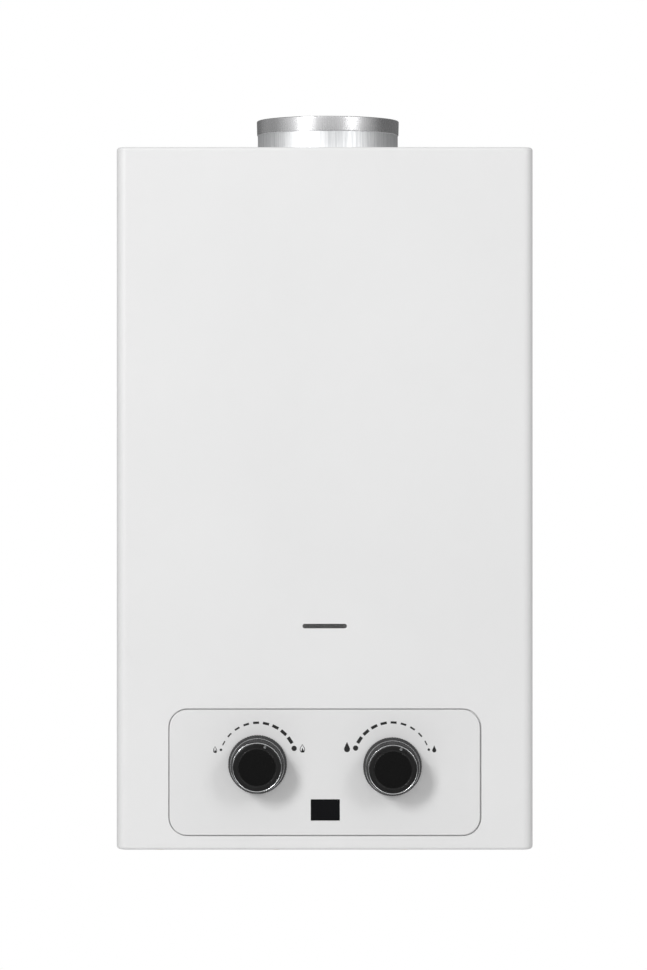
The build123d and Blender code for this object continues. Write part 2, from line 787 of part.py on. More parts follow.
# Flue collar: thin round spigot with a hemmed rim and a flange on the hood
collar_top_above_cover = 25.8
collar_rim_height = 11.2
collar_wall = 1.0
collar_rim_wall = 2.0
collar_rim_round = 0.9
collar_flange_radius = 66.0
collar_flange_sheet = 1.0
collar_screw_circle = 60.5
collar_screw_count = 4
collar_screw_angle = 45.0
collar_top = cover_top + collar_top_above_cover
with BuildPart() as flue_collar:
    with BuildSketch(Plane.XZ) as collar_profile:
        with BuildLine():
            Polyline(
                (collar_neck_radius - collar_wall, hood_top),
                (collar_flange_radius, hood_top),
                (collar_flange_radius, hood_top + collar_flange_sheet),
                (collar_neck_radius, hood_top + collar_flange_sheet),
                (collar_neck_radius, collar_top - collar_rim_height),
                (collar_radius, collar_top - collar_rim_height),
                (collar_radius, collar_top),
                (collar_radius - collar_rim_wall, collar_top),
                (collar_radius - collar_rim_wall, collar_top - collar_rim_height),
                (collar_neck_radius - collar_wall, collar_top - collar_rim_height),
                close=True,
            )
        make_face()
    revolve(collar_profile.sketch, axis=Axis.Z)
    fillet(flue_collar.edges().group_by(Axis.Z)[-1], collar_rim_round)
    with BuildSketch(Plane.XY.offset(hood_top)) as collar_holes:
        with PolarLocations(collar_screw_circle, collar_screw_count, start_angle=collar_screw_angle):
            Circle(screw_clearance_radius)
    extrude(collar_holes.sketch, amount=collar_flange_sheet + cut_overrun, mode=Mode.SUBTRACT)
flue_collar.part = Pos(collar_offset_x, core_y, 0) * flue_collar.part
write_piece(flue_collar, "flue_collar")

# Exhaust hood: rectangular skirt over the chamber, drawn in to the round flue
hood_sheet = 0.8
hood_skirt_gap = 0.4
hood_skirt_overlap = 6.0
hood_skirt_height = 20.0
hood_neck_height = 10.0
hood_flange_sheet = 1.0
hood_outer_width = chamber_width + 2 * (hood_skirt_gap + hood_sheet)
hood_outer_depth = chamber_depth + 2 * (hood_skirt_gap + hood_sheet)
hood_bottom = chamber_top - hood_skirt_overlap
hood_neck_bottom = hood_top - hood_neck_height
thermostat_x = 60.0
thermostat_radius = 8.0
thermostat_height = 6.0
thermostat_z = hood_bottom + hood_skirt_height / 2
hood_corner = chamber_corner + hood_skirt_gap + hood_sheet
with BuildPart() as exhaust_hood:
    with BuildSketch(Plane.XY.offset(hood_bottom)) as skirt:
        with Locations((0, core_y)):
            RectangleRounded(hood_outer_width, hood_outer_depth, hood_corner)
    extrude(skirt.sketch, amount=hood_skirt_height)
    with BuildSketch(Plane.XY.offset(hood_bottom + hood_skirt_height)) as hood_start:
        with Locations((0, core_y)):
            RectangleRounded(hood_outer_width, hood_outer_depth, hood_corner)
    with BuildSketch(Plane.XY.offset(hood_neck_bottom)) as hood_end:
        with Locations((collar_offset_x, core_y)):
            Circle(collar_neck_radius)
    loft([hood_start.sketch.face(), hood_end.sketch.face()])
    add_cylinder(
        along_z(collar_offset_x, core_y, hood_neck_bottom), collar_neck_radius, hood_neck_height
    )
    add_cylinder(
        along_z(collar_offset_x, core_y, hood_top - hood_flange_sheet),
        collar_flange_radius,
        hood_flange_sheet,
    )
    with BuildSketch(Plane.XY.offset(hood_bottom)) as skirt_inside:
        with Locations((0, core_y)):
            RectangleRounded(
                hood_outer_width - 2 * hood_sheet,
                hood_outer_depth - 2 * hood_sheet,
                hood_corner - hood_sheet,
            )
    extrude(skirt_inside.sketch, amount=hood_skirt_height, mode=Mode.SUBTRACT)
    with BuildSketch(Plane.XY.offset(hood_bottom + hood_skirt_height)) as inner_start:
        with Locations((0, core_y)):
            RectangleRounded(
                hood_outer_width - 2 * hood_sheet,
                hood_outer_depth - 2 * hood_sheet,
                hood_corner - hood_sheet,
            )
    with BuildSketch(Plane.XY.offset(hood_neck_bottom)) as inner_end:
        with Locations((collar_offset_x, core_y)):
            Circle(collar_neck_radius - hood_sheet)
    loft([inner_start.sketch.face(), inner_end.sketch.face()], mode=Mode.SUBTRACT)
    add_cylinder(
        along_z(collar_offset_x, core_y, hood_neck_bottom),
        collar_neck_radius - hood_sheet,
        hood_neck_height + cut_overrun,
        Mode.SUBTRACT,
    )
    with BuildSketch(Plane.XY.offset(hood_top)) as hood_holes:
        with Locations((collar_offset_x, core_y)):
            with PolarLocations(collar_screw_circle, collar_screw_count, start_angle=collar_screw_angle):
                Circle(screw_thread_hole_radius)
    extrude(hood_holes.sketch, amount=-(hood_flange_sheet + cut_overrun), mode=Mode.SUBTRACT)
write_piece(exhaust_hood, "exhaust_hood")

# Overheat thermostat on the front of the hood
thermostat_flange_width = 24.0
thermostat_flange_sheet = 1.0
thermostat_tab_width = 6.0
thermostat_tab_length = 8.0
thermostat_tab_sheet = 0.8
hood_front_y = core_y - hood_outer_depth / 2
with BuildPart() as flue_thermostat:
    with BuildSketch(facing_room(thermostat_x, hood_front_y, thermostat_z)) as thermostat_flange:
        SlotOverall(thermostat_flange_width, thermostat_radius)
    extrude(thermostat_flange.sketch, amount=thermostat_flange_sheet)
    add_cylinder(
        facing_room(thermostat_x, hood_front_y, thermostat_z), thermostat_radius, thermostat_height
    )
    for tab_side in (-1, 1):
        tab_x = thermostat_x + tab_side * thermostat_radius / 2
        add_box(
            (
                tab_x - thermostat_tab_sheet / 2,
                hood_front_y - thermostat_height - thermostat_tab_length,
                thermostat_z - thermostat_tab_width / 2,
            ),
            (
                tab_x + thermostat_tab_sheet / 2,
                hood_front_y - thermostat_height,
                thermostat_z + thermostat_tab_width / 2,
            ),
        )
write_piece(flue_thermostat, "flue_thermostat")

# Burner frame: open sheet box with lips that carry the bars and a flange under the chamber
frame_sheet = 1.2
frame_lip = 6.0
frame_flange_sheet = 1.0
frame_inner_half_depth = chamber_depth / 2 - frame_sheet
burner_frame_top = chamber_bottom
nozzle_count = 11
nozzle_pitch = 18.0
nozzle_radius = 3.0
nozzle_hole_clearance = 0.6
nozzle_from_base = 135.0
nozzle_z = from_base(nozzle_from_base)
electrode_from_base = 171.0
electrode_z = from_base(electrode_from_base)
electrode_spread = 30.0
electrode_radius = 3.5
electrode_spots = [(-electrode_spread / 2, electrode_z), (electrode_spread / 2, electrode_z)]
chamber_front_y = core_y - chamber_depth / 2
flange_screw_spread = 176.0
flange_screw_edge = 4.2
flange_screws = [
    (x, core_y + side * (chamber_depth / 2 + flange_screw_edge))
    for x in (-flange_screw_spread / 2, flange_screw_spread / 2)
    for side in (-1, 1)
]
flange_width = 8.5
with BuildPart() as burner_frame:
    with BuildSketch(Plane.XY.offset(burner_frame_bottom)) as frame_walls:
        with Locations((0, core_y)):
            Rectangle(chamber_width, chamber_depth)
            Rectangle(chamber_width - 2 * frame_sheet, chamber_depth - 2 * frame_sheet, mode=Mode.SUBTRACT)
    extrude(frame_walls.sketch, amount=burner_frame_top - burner_frame_bottom)
    with BuildSketch(Plane.XY.offset(burner_frame_bottom)) as frame_lips:
        with Locations((0, core_y)):
            Rectangle(chamber_width, chamber_depth)
            Rectangle(chamber_width, chamber_depth - 2 * (frame_sheet + frame_lip), mode=Mode.SUBTRACT)
    extrude(frame_lips.sketch, amount=frame_sheet)
    with BuildSketch(Plane.XY.offset(burner_frame_top)) as frame_flange:
        with Locations((0, core_y)):
            Rectangle(chamber_width, chamber_depth + 2 * flange_width)
            Rectangle(chamber_width - 2 * frame_sheet, chamber_depth - 2 * frame_sheet, mode=Mode.SUBTRACT)
    extrude(frame_flange.sketch, amount=-frame_flange_sheet)
    cut_holes(
        Plane.XY.offset(burner_frame_top),
        flange_screws,
        screw_thread_hole_radius,
        frame_flange_sheet + cut_overrun,
    )
    with BuildSketch(facing_room(0, chamber_front_y, 0)) as front_holes:
        with Locations((0, nozzle_z)):
            with GridLocations(nozzle_pitch, 0, nozzle_count, 1):
                Circle(nozzle_radius + nozzle_hole_clearance)
        with Locations(*electrode_spots):
            Circle(electrode_radius + sheet_clearance)
    extrude(front_holes.sketch, amount=frame_sheet + cut_overrun, both=True, mode=Mode.SUBTRACT)
write_piece(burner_frame, "burner_frame")

# Burner bars: flat hollow-mouthed bars with flame slots along their tops
bar_width = 11.0
bar_height = 32.0
bar_end_gap = 2.8
bar_depth = 2 * (frame_inner_half_depth - bar_end_gap)
bar_top_round = 3.0
bar_mouth_radius = 4.0
bar_mouth_depth = 45.0
flame_slot_count = 12
flame_slot_length = 6.0
flame_slot_width = 1.2
flame_slot_depth = 4.0
flame_slot_pitch = 7.5
bar_bottom = burner_frame_bottom + frame_sheet
with BuildPart() as burner_bars:
    with BuildSketch(facing_room(0, core_y + bar_depth / 2, bar_bottom + bar_height / 2)) as bar_sections:
        with GridLocations(nozzle_pitch, 0, nozzle_count, 1):
            Rectangle(bar_width, bar_height)
        fillet(bar_sections.vertices().group_by(Axis.Z)[-1], bar_top_round)
    extrude(bar_sections.sketch, amount=bar_depth)
    with BuildSketch(along_y(0, core_y - bar_depth / 2, nozzle_z)) as bar_mouths:
        with GridLocations(nozzle_pitch, 0, nozzle_count, 1):
            Circle(bar_mouth_radius)
    extrude(bar_mouths.sketch, amount=bar_mouth_depth, mode=Mode.SUBTRACT)
    with BuildSketch(Plane.XY.offset(bar_bottom + bar_height)) as flame_slots:
        with Locations((0, core_y)):
            with GridLocations(nozzle_pitch, flame_slot_pitch, nozzle_count, flame_slot_count):
                Rectangle(flame_slot_length, flame_slot_width)
    extrude(flame_slots.sketch, amount=-flame_slot_depth, mode=Mode.SUBTRACT)
write_piece(burner_bars, "burner_bars")

# Electrode ceramics seated on the front of the frame, and their wire tips
ceramic_inside = 9.0
ceramic_outside = 12.0
ceramic_collar_radius = 5.5
ceramic_collar_length = 3.0
tip_radius = 0.9
tip_reach = 8.0
tip_bend_radius = 3.0
tip_gap = 3.0
bar_top = bar_bottom + bar_height
with BuildPart() as electrode_ceramics:
    for spot_x, spot_z in electrode_spots:
        add_cylinder(
            along_y(spot_x, chamber_front_y - ceramic_outside, spot_z),
            electrode_radius,
            ceramic_outside + ceramic_inside,
        )
        add_cylinder(
            facing_room(spot_x, chamber_front_y, spot_z), ceramic_collar_radius, ceramic_collar_length
        )
write_piece(electrode_ceramics, "electrode_ceramics")

with BuildPart() as electrode_tips:
    for spot_x, spot_z in electrode_spots:
        tip_start = (spot_x, chamber_front_y + ceramic_inside, spot_z)
        tip_corner = (spot_x, chamber_front_y + ceramic_inside + tip_reach, spot_z)
        tip_end = (spot_x, chamber_front_y + ceramic_inside + tip_reach, bar_top + tip_gap)
        sweep_tube([tip_start, tip_corner, tip_end], tip_bend_radius, tip_radius)
write_piece(electrode_tips, "electrode_tips")

# Gas manifold bar with its riser from the gas valve
manifold_gap = 3.0
manifold_depth = 12.0
manifold_height = 13.0
manifold_wall = 1.2
manifold_end = 12.0
manifold_half_width = nozzle_pitch * (nozzle_count - 1) / 2 + manifold_end
manifold_rear_y = chamber_front_y - manifold_gap
manifold_middle_y = manifold_rear_y - manifold_depth / 2
riser_radius = 6.0
riser_bend_radius = 9.0
riser_run_from_base = 108.0
valve_top_from_base = 92.0
riser_x = -38.0
with BuildPart() as gas_manifold:
    add_box(
        (-manifold_half_width, manifold_rear_y - manifold_depth, nozzle_z - manifold_height / 2),
        (manifold_half_width, manifold_rear_y, nozzle_z + manifold_height / 2),
    )
    sweep_tube(
        [
            (riser_x, valve_axis_y, from_base(valve_top_from_base)),
            (riser_x, valve_axis_y, from_base(riser_run_from_base)),
            (riser_x, manifold_middle_y, from_base(riser_run_from_base)),
            (riser_x, manifold_middle_y, nozzle_z),
        ],
        riser_bend_radius,
        riser_radius,
    )
    add_box(
        (
            -manifold_half_width + manifold_wall,
            manifold_rear_y - manifold_depth + manifold_wall,
            nozzle_z - manifold_height / 2 + manifold_wall,
        ),
        (
            manifold_half_width - manifold_wall,
            manifold_rear_y - manifold_wall,
            nozzle_z + manifold_height / 2 - manifold_wall,
        ),
        Mode.SUBTRACT,
    )
    with BuildSketch(along_y(0, manifold_rear_y, nozzle_z)) as manifold_holes:
        with GridLocations(nozzle_pitch, 0, nozzle_count, 1):
            Circle(screw_shank_radius + slip_clearance)
    extrude(manifold_holes.sketch, amount=-2 * manifold_wall, mode=Mode.SUBTRACT)
write_piece(gas_manifold, "gas_manifold")

# Nozzles screwed into the manifold, pointing into the burner bars
nozzle_bore = 0.5
nozzle_tip_gap = 0.5
nozzle_length = core_y - bar_depth / 2 - nozzle_tip_gap - manifold_rear_y
with BuildPart() as gas_nozzles:
    with BuildSketch(along_y(0, manifold_rear_y, nozzle_z)) as nozzle_tips:
        with GridLocations(nozzle_pitch, 0, nozzle_count, 1):
            Circle(nozzle_radius)
    extrude(nozzle_tips.sketch, amount=nozzle_length)
    chamfer(gas_nozzles.edges().group_by(Axis.Y)[-1], nozzle_radius / 2)
    with BuildSketch(along_y(0, manifold_rear_y, nozzle_z)) as nozzle_threads:
        with GridLocations(nozzle_pitch, 0, nozzle_count, 1):
            Circle(screw_shank_radius)
    extrude(nozzle_threads.sketch, amount=-manifold_wall)
    with BuildSketch(along_y(0, manifold_rear_y, nozzle_z)) as nozzle_bores:
        with GridLocations(nozzle_pitch, 0, nozzle_count, 1):
            Circle(nozzle_bore)
    extrude(nozzle_bores.sketch, amount=nozzle_length + cut_overrun, both=True, mode=Mode.SUBTRACT)
write_piece(gas_nozzles, "gas_nozzles")

# Combustion chamber: open copper box, flanged at the bottom, with holes for the exchanger tubes
pipe_radius = 6.35
pipe_bore_radius = 5.5
exchanger_radius = 7.0
exchanger_bore = pipe_radius + slip_clearance
exchanger_pitch = 22.0
exchanger_tubes = 5
exchanger_from_base = 351.0
exchanger_z = from_base(exchanger_from_base)
exchanger_stub = 8.0
exchanger_half_length = chamber_width / 2 + exchanger_stub
tube_ys = [core_y + exchanger_pitch * ((exchanger_tubes - 1) / 2 - index) for index in range(exchanger_tubes)]
with BuildPart() as combustion_chamber:
    with BuildSketch(Plane.XY.offset(chamber_bottom)) as chamber_walls:
        with Locations((0, core_y)):
            RectangleRounded(chamber_width, chamber_depth, chamber_corner)
    extrude(chamber_walls.sketch, amount=chamber_height)
    with BuildSketch(Plane.XY.offset(chamber_bottom)) as chamber_flange:
        with Locations((0, core_y)):
            Rectangle(chamber_width, chamber_depth + 2 * flange_width)
    extrude(chamber_flange.sketch, amount=chamber_sheet)
    with BuildSketch(Plane.XY.offset(chamber_bottom)) as chamber_inside:
        with Locations((0, core_y)):
            RectangleRounded(
                chamber_width - 2 * chamber_sheet,
                chamber_depth - 2 * chamber_sheet,
                chamber_corner - chamber_sheet,
            )
    extrude(chamber_inside.sketch, amount=chamber_height, mode=Mode.SUBTRACT)
    cut_holes(
        Plane.XY.offset(chamber_bottom), flange_screws, screw_clearance_radius, chamber_sheet + cut_overrun
    )
    for tube_y in tube_ys:
        add_cylinder(
            along_x(-chamber_width / 2 - cut_overrun, tube_y, exchanger_z),
            exchanger_radius + slip_clearance,
            chamber_width + 2 * cut_overrun,
            Mode.SUBTRACT,
        )
write_piece(combustion_chamber, "combustion_chamber")

# Fins threaded on the exchanger tubes
fin_count = 34
fin_pitch = 6.0
fin_sheet = 0.5
fin_edge_gap = 1.2
fin_depth = chamber_depth - 2 * chamber_sheet - 2 * fin_edge_gap
with BuildPart() as fin_pack:
    for fin_index in range(fin_count):
        fin_x = fin_pitch * (fin_index - (fin_count - 1) / 2) - fin_sheet / 2
        with BuildSketch(along_x(fin_x, core_y, fin_bottom + fin_height / 2)) as fin:
            Rectangle(fin_depth, fin_height)
            with Locations((0, exchanger_z - fin_bottom - fin_height / 2)):
                with GridLocations(exchanger_pitch, 0, exchanger_tubes, 1):
                    Circle(exchanger_radius + slip_clearance, mode=Mode.SUBTRACT)
        extrude(fin.sketch, amount=fin_sheet)
write_piece(fin_pack, "fin_pack")

# Exchanger tube: one tube bent back and forth through the fins
with BuildPart() as exchanger_tube:
    with BuildLine() as serpentine:
        for index, tube_y in enumerate(tube_ys):
            side = 1 if index % 2 == 0 else -1
            Line(
                (side * exchanger_half_length, tube_y, exchanger_z),
                (-side * exchanger_half_length, tube_y, exchanger_z),
            )
            if index < exchanger_tubes - 1:
                ThreePointArc(
                    (-side * exchanger_half_length, tube_y, exchanger_z),
                    (
                        -side * (exchanger_half_length + exchanger_pitch / 2),
                        tube_y - exchanger_pitch / 2,
                        exchanger_z,
                    ),
                    (-side * exchanger_half_length, tube_y - exchanger_pitch, exchanger_z),
                )
    with BuildSketch(along_x(exchanger_half_length, tube_ys[0], exchanger_z)) as tube_section:
        Circle(exchanger_radius)
        Circle(exchanger_bore, mode=Mode.SUBTRACT)
    sweep(tube_section.sketch, path=serpentine.wire())
write_piece(exchanger_tube, "exchanger_tube")

# Brackets that carry the chamber on the back plate
bracket_sheet = 1.2
bracket_height = 18.0
bracket_lip = 8.0
bracket_half_length = 60.0
bracket_from_base = (195.0, 300.0)
chamber_rear_y = core_y + chamber_depth / 2
with BuildPart() as chamber_brackets:
    for bracket_bottom in bracket_from_base:
        low = from_base(bracket_bottom)
        high = low + bracket_height
        add_box(
            (-bracket_half_length, chamber_rear_y, low),
            (bracket_half_length, chamber_rear_y + bracket_sheet, high),
        )
        for web_low, lip_low in ((low, low - bracket_lip), (high - bracket_sheet, high)):
            add_box(
                (-bracket_half_length, chamber_rear_y, web_low),
                (bracket_half_length, -plate_sheet, web_low + bracket_sheet),
            )
            add_box(
                (-bracket_half_length, -plate_sheet - bracket_sheet, lip_low),
                (bracket_half_length, -plate_sheet, lip_low + bracket_lip),
            )
write_piece(chamber_brackets, "chamber_brackets")

# Gas valve body with its bores
valve_rear_y = -42.0
gas_body_left = -78.0
gas_body_right = -26.0
gas_body_bottom_from_base = 12.0
gas_body_round = 2.0
axis_z = gas_knob_z
plug_bore_depth = 18.0
port_radius = 5.0
chamber_bore_radius = 11.0
right_chamber_end_x = -42.0
seat_x = -46.0
seat_hole_radius = 6.0
gland_end_x = -34.0
end_plug_inner_x = -66.0
solenoid_from_base = 26.0
solenoid_z = from_base(solenoid_from_base)
solenoid_bore_radius = 9.0
solenoid_seat_radius = 5.0
gas_port_x = -38.0
link_port_x = -56.0
link_port_radius = 4.0
rod_radius = 2.5
valve_depth = valve_rear_y - valve_front_y
with BuildPart() as gas_valve_body:
    add_box(
        (gas_body_left, valve_front_y, from_base(gas_body_bottom_from_base)),
        (gas_body_right, valve_rear_y, from_base(valve_top_from_base)),
    )
    fillet(gas_valve_body.edges().filter_by(Axis.Y), gas_body_round)
    add_cylinder(
        along_y(gas_knob_x, valve_front_y, gas_knob_z), plug_bore_radius, plug_bore_depth, Mode.SUBTRACT
    )
    add_cylinder(
        along_y(gas_knob_x, valve_front_y, gas_knob_z), port_radius, valve_depth / 2, Mode.SUBTRACT
    )
    add_cylinder(
        along_x(right_chamber_end_x, valve_axis_y, axis_z),
        chamber_bore_radius,
        gas_body_right - right_chamber_end_x + cut_overrun,
        Mode.SUBTRACT,
    )
    add_cylinder(
        along_x(seat_x - cut_overrun, valve_axis_y, axis_z),
        seat_hole_radius,
        right_chamber_end_x - seat_x + 2 * cut_overrun,
        Mode.SUBTRACT,
    )
    add_cylinder(
        along_x(gas_body_left - cut_overrun, valve_axis_y, axis_z),
        chamber_bore_radius,
        seat_x - gas_body_left + cut_overrun,
        Mode.SUBTRACT,
    )
    add_cylinder(
        along_x(gas_body_left - cut_overrun, valve_axis_y, solenoid_z),
        solenoid_bore_radius,
        seat_x - gas_body_left + cut_overrun,
        Mode.SUBTRACT,
    )
    add_cylinder(
        along_x(seat_x - cut_overrun, valve_axis_y, solenoid_z),
        solenoid_seat_radius,
        gas_port_x - seat_x + cut_overrun,
        Mode.SUBTRACT,
    )
    add_cylinder(
        along_z(gas_port_x, valve_axis_y, from_base(gas_body_bottom_from_base) - cut_overrun),
        port_radius,
        solenoid_from_base - gas_body_bottom_from_base + port_radius + cut_overrun,
        Mode.SUBTRACT,
    )
    add_cylinder(
        along_z(link_port_x, valve_axis_y, solenoid_z),
        link_port_radius,
        axis_z - solenoid_z,
        Mode.SUBTRACT,
    )
    add_cylinder(
        along_z(riser_x, valve_axis_y, axis_z),
        port_radius,
        from_base(valve_top_from_base) - axis_z + cut_overrun,
        Mode.SUBTRACT,
    )
write_piece(gas_valve_body, "gas_valve_body")

# Gland that guides the rod out of the gas valve, and the plug that closes its far end
gland_hex_across = 24.0
gland_head = 4.0
with BuildPart() as rod_gland:
    add_cylinder(
        along_x(gland_end_x, valve_axis_y, axis_z),
        chamber_bore_radius - slip_clearance,
        gas_body_right - gland_end_x,
    )
    add_hexagon(along_x(gas_body_right, valve_axis_y, axis_z), gland_hex_across, gland_head)
    add_cylinder(
        along_x(gland_end_x - cut_overrun, valve_axis_y, axis_z),
        rod_radius + running_clearance,
        gas_body_right - gland_end_x + gland_head + 2 * cut_overrun,
        Mode.SUBTRACT,
    )
write_piece(rod_gland, "rod_gland")

with BuildPart() as valve_end_plug:
    add_cylinder(
        along_x(gas_body_left, valve_axis_y, axis_z),
        chamber_bore_radius - slip_clearance,
        end_plug_inner_x - gas_body_left,
    )
    add_hexagon(along_x(gas_body_left - gland_head, valve_axis_y, axis_z), gland_hex_across, gland_head)
write_piece(valve_end_plug, "valve_end_plug")

# Water valve body with the membrane drum half, the outlet and the drain boss
water_body_left = 30.0
water_body_right = 76.0
water_body_bottom_from_base = 30.0
drum_radius = 26.0
drum_cavity_radius = 20.0
drum_face_x = 22.5
drum_floor_x = 28.0
membrane_sheet = 1.0
inlet_bore_top_from_base = 56.0
outlet_from_base = 76.0
outlet_z = from_base(outlet_from_base)
pipe_insertion = 6.0
drain_boss_bottom_from_base = 0.0
drain_stem_radius = 5.0
drain_stem_length = 15.0
drain_bore_radius = drain_stem_radius + running_clearance
water_body_bottom = from_base(water_body_bottom_from_base)
with BuildPart() as water_valve_body:
    add_box(
        (water_body_left, valve_front_y, water_body_bottom),
        (water_body_right, valve_rear_y, from_base(valve_top_from_base)),
    )
    fillet(water_valve_body.edges().filter_by(Axis.Y), gas_body_round)
    add_cylinder(
        along_x(drum_face_x, valve_axis_y, axis_z), drum_radius, water_body_left - drum_face_x
    )
    add_cylinder(
        along_z(drain_x, valve_axis_y, from_base(drain_boss_bottom_from_base)),
        drain_boss_radius,
        water_body_bottom_from_base - drain_boss_bottom_from_base + drain_boss_radius,
    )
    add_cylinder(
        along_x(drum_face_x - cut_overrun, valve_axis_y, axis_z),
        drum_cavity_radius,
        drum_floor_x - drum_face_x + cut_overrun,
        Mode.SUBTRACT,
    )
    add_cylinder(
        along_y(water_knob_x, valve_front_y, water_knob_z), plug_bore_radius, plug_bore_depth, Mode.SUBTRACT
    )
    add_cylinder(
        along_y(water_knob_x, valve_front_y, water_knob_z), port_radius, valve_depth / 2, Mode.SUBTRACT
    )
    add_cylinder(
        along_x(drum_floor_x - cut_overrun, valve_axis_y, axis_z),
        port_radius,
        water_knob_x - drum_floor_x,
        Mode.SUBTRACT,
    )
    add_cylinder(
        along_z(cold_inlet_x, valve_axis_y, water_body_bottom - cut_overrun),
        exchanger_bore,
        inlet_bore_top_from_base - water_body_bottom_from_base,
        Mode.SUBTRACT,
    )
    add_cylinder(
        along_x(water_body_right - 2 * pipe_insertion, valve_axis_y, outlet_z),
        exchanger_bore,
        2 * pipe_insertion + cut_overrun,
        Mode.SUBTRACT,
    )
    add_cylinder(
        along_z(drain_x, valve_axis_y, from_base(drain_boss_bottom_from_base) - cut_overrun),
        drain_bore_radius,
        drain_stem_length + 2 * cut_overrun,
        Mode.SUBTRACT,
    )
write_piece(water_valve_body, "water_valve_body")

# Rubber membrane and the cover that clamps it, with a cast arm over the switch
cover_left_x = 10.0
cover_floor_x = 14.0
arm_left_x = -16.0
arm_half_width = 6.0
arm_bottom_from_base = 94.0
arm_top_from_base = 97.0
arm_root_from_base = 84.0
arm_root_right_x = 16.0
switch_depth_half = 5.0
with BuildPart() as membrane:
    add_cylinder(
        along_x(drum_face_x - membrane_sheet, valve_axis_y, axis_z), drum_radius, membrane_sheet
    )
write_piece(membrane, "membrane")

with BuildPart() as membrane_cover:
    add_cylinder(
        along_x(cover_left_x, valve_axis_y, axis_z),
        drum_radius,
        drum_face_x - membrane_sheet - cover_left_x,
    )
    add_box(
        (cover_left_x, valve_axis_y - arm_half_width, from_base(arm_root_from_base)),
        (arm_root_right_x, valve_axis_y + arm_half_width, from_base(arm_top_from_base)),
    )
    add_box(
        (arm_left_x, valve_axis_y - arm_half_width, from_base(arm_bottom_from_base)),
        (arm_root_right_x, valve_axis_y + arm_half_width, from_base(arm_top_from_base)),
    )
    add_cylinder(
        along_x(cover_floor_x, valve_axis_y, axis_z),
        drum_cavity_radius,
        drum_face_x - cover_floor_x,
        Mode.SUBTRACT,
    )
    add_cylinder(
        along_x(cover_left_x - cut_overrun, valve_axis_y, axis_z),
        rod_radius + running_clearance,
        cover_floor_x - cover_left_x + 2 * cut_overrun,
        Mode.SUBTRACT,
    )
write_piece(membrane_cover, "membrane_cover")

# Push rod with its membrane plate and switch collar, and the rubber valve disc on its end
push_plate_radius = 17.0
push_plate_sheet = 1.5
rod_collar_radius = 5.0
rod_collar_left_x = -2.0
rod_collar_length = 3.0
disc_radius = 8.5
disc_thickness = 2.0
rod_tail = 3.0
push_plate_x = drum_face_x - membrane_sheet - push_plate_sheet
rod_end_x = seat_x - disc_thickness - rod_tail
with BuildPart() as push_rod:
    add_cylinder(along_x(push_plate_x, valve_axis_y, axis_z), push_plate_radius, push_plate_sheet)
    add_cylinder(along_x(rod_end_x, valve_axis_y, axis_z), rod_radius, push_plate_x - rod_end_x)
    add_cylinder(along_x(rod_collar_left_x, valve_axis_y, axis_z), rod_collar_radius, rod_collar_length)
write_piece(push_rod, "push_rod")

with BuildPart() as valve_disc:
    add_cylinder(along_x(seat_x - disc_thickness, valve_axis_y, axis_z), disc_radius, disc_thickness)
    add_cylinder(
        along_x(seat_x - disc_thickness - cut_overrun, valve_axis_y, axis_z),
        rod_radius + slip_clearance,
        disc_thickness + 2 * cut_overrun,
        Mode.SUBTRACT,
    )
write_piece(valve_disc, "valve_disc")

# Return spring between the disc and the end plug
spring_wire_radius = 0.5
spring_coil_radius = 5.5
spring_turns = 6
spring_end_gap = 0.1
spring_start_x = seat_x - disc_thickness - spring_wire_radius - spring_end_gap
spring_length = spring_start_x - end_plug_inner_x - spring_wire_radius - spring_end_gap
quarters_per_turn = 4
spring_pitch = spring_length / spring_turns


def coil_point(quarter):
    """Point and direction on the spring's helix after a number of quarter turns."""
    angle = radians(full_turn / quarters_per_turn * quarter)
    point = Vector(
        spring_start_x - spring_pitch * quarter / quarters_per_turn,
        valve_axis_y + spring_coil_radius * cos(angle),
        axis_z + spring_coil_radius * sin(angle),
    )
    advance = spring_pitch / radians(full_turn)
    heading = Vector(-advance, -spring_coil_radius * sin(angle), spring_coil_radius * cos(angle))
    return point, heading.normalized()


with BuildPart() as valve_spring:
    with BuildLine() as coil:
        for quarter in range(spring_turns * quarters_per_turn):
            first, first_heading = coil_point(quarter)
            last, last_heading = coil_point(quarter + 1)
            chord = last - first
            both = first_heading + last_heading
            spread = 2 * (1 - first_heading.dot(last_heading))
            reach = (-chord.dot(both) + (chord.dot(both) ** 2 + spread * chord.dot(chord)) ** 0.5) / spread
            first_control = first + first_heading * reach
            last_control = last - last_heading * reach
            joint = (first_control + last_control) / 2
            TangentArc(first, joint, tangent=first_heading)
            TangentArc(joint, last, tangent=last_control - first_control)
    with BuildSketch(Plane(origin=coil_point(0)[0], z_dir=coil_point(0)[1])) as wire_section:
        Circle(spring_wire_radius)
    sweep(wire_section.sketch, path=coil.wire())
write_piece(valve_spring, "valve_spring")

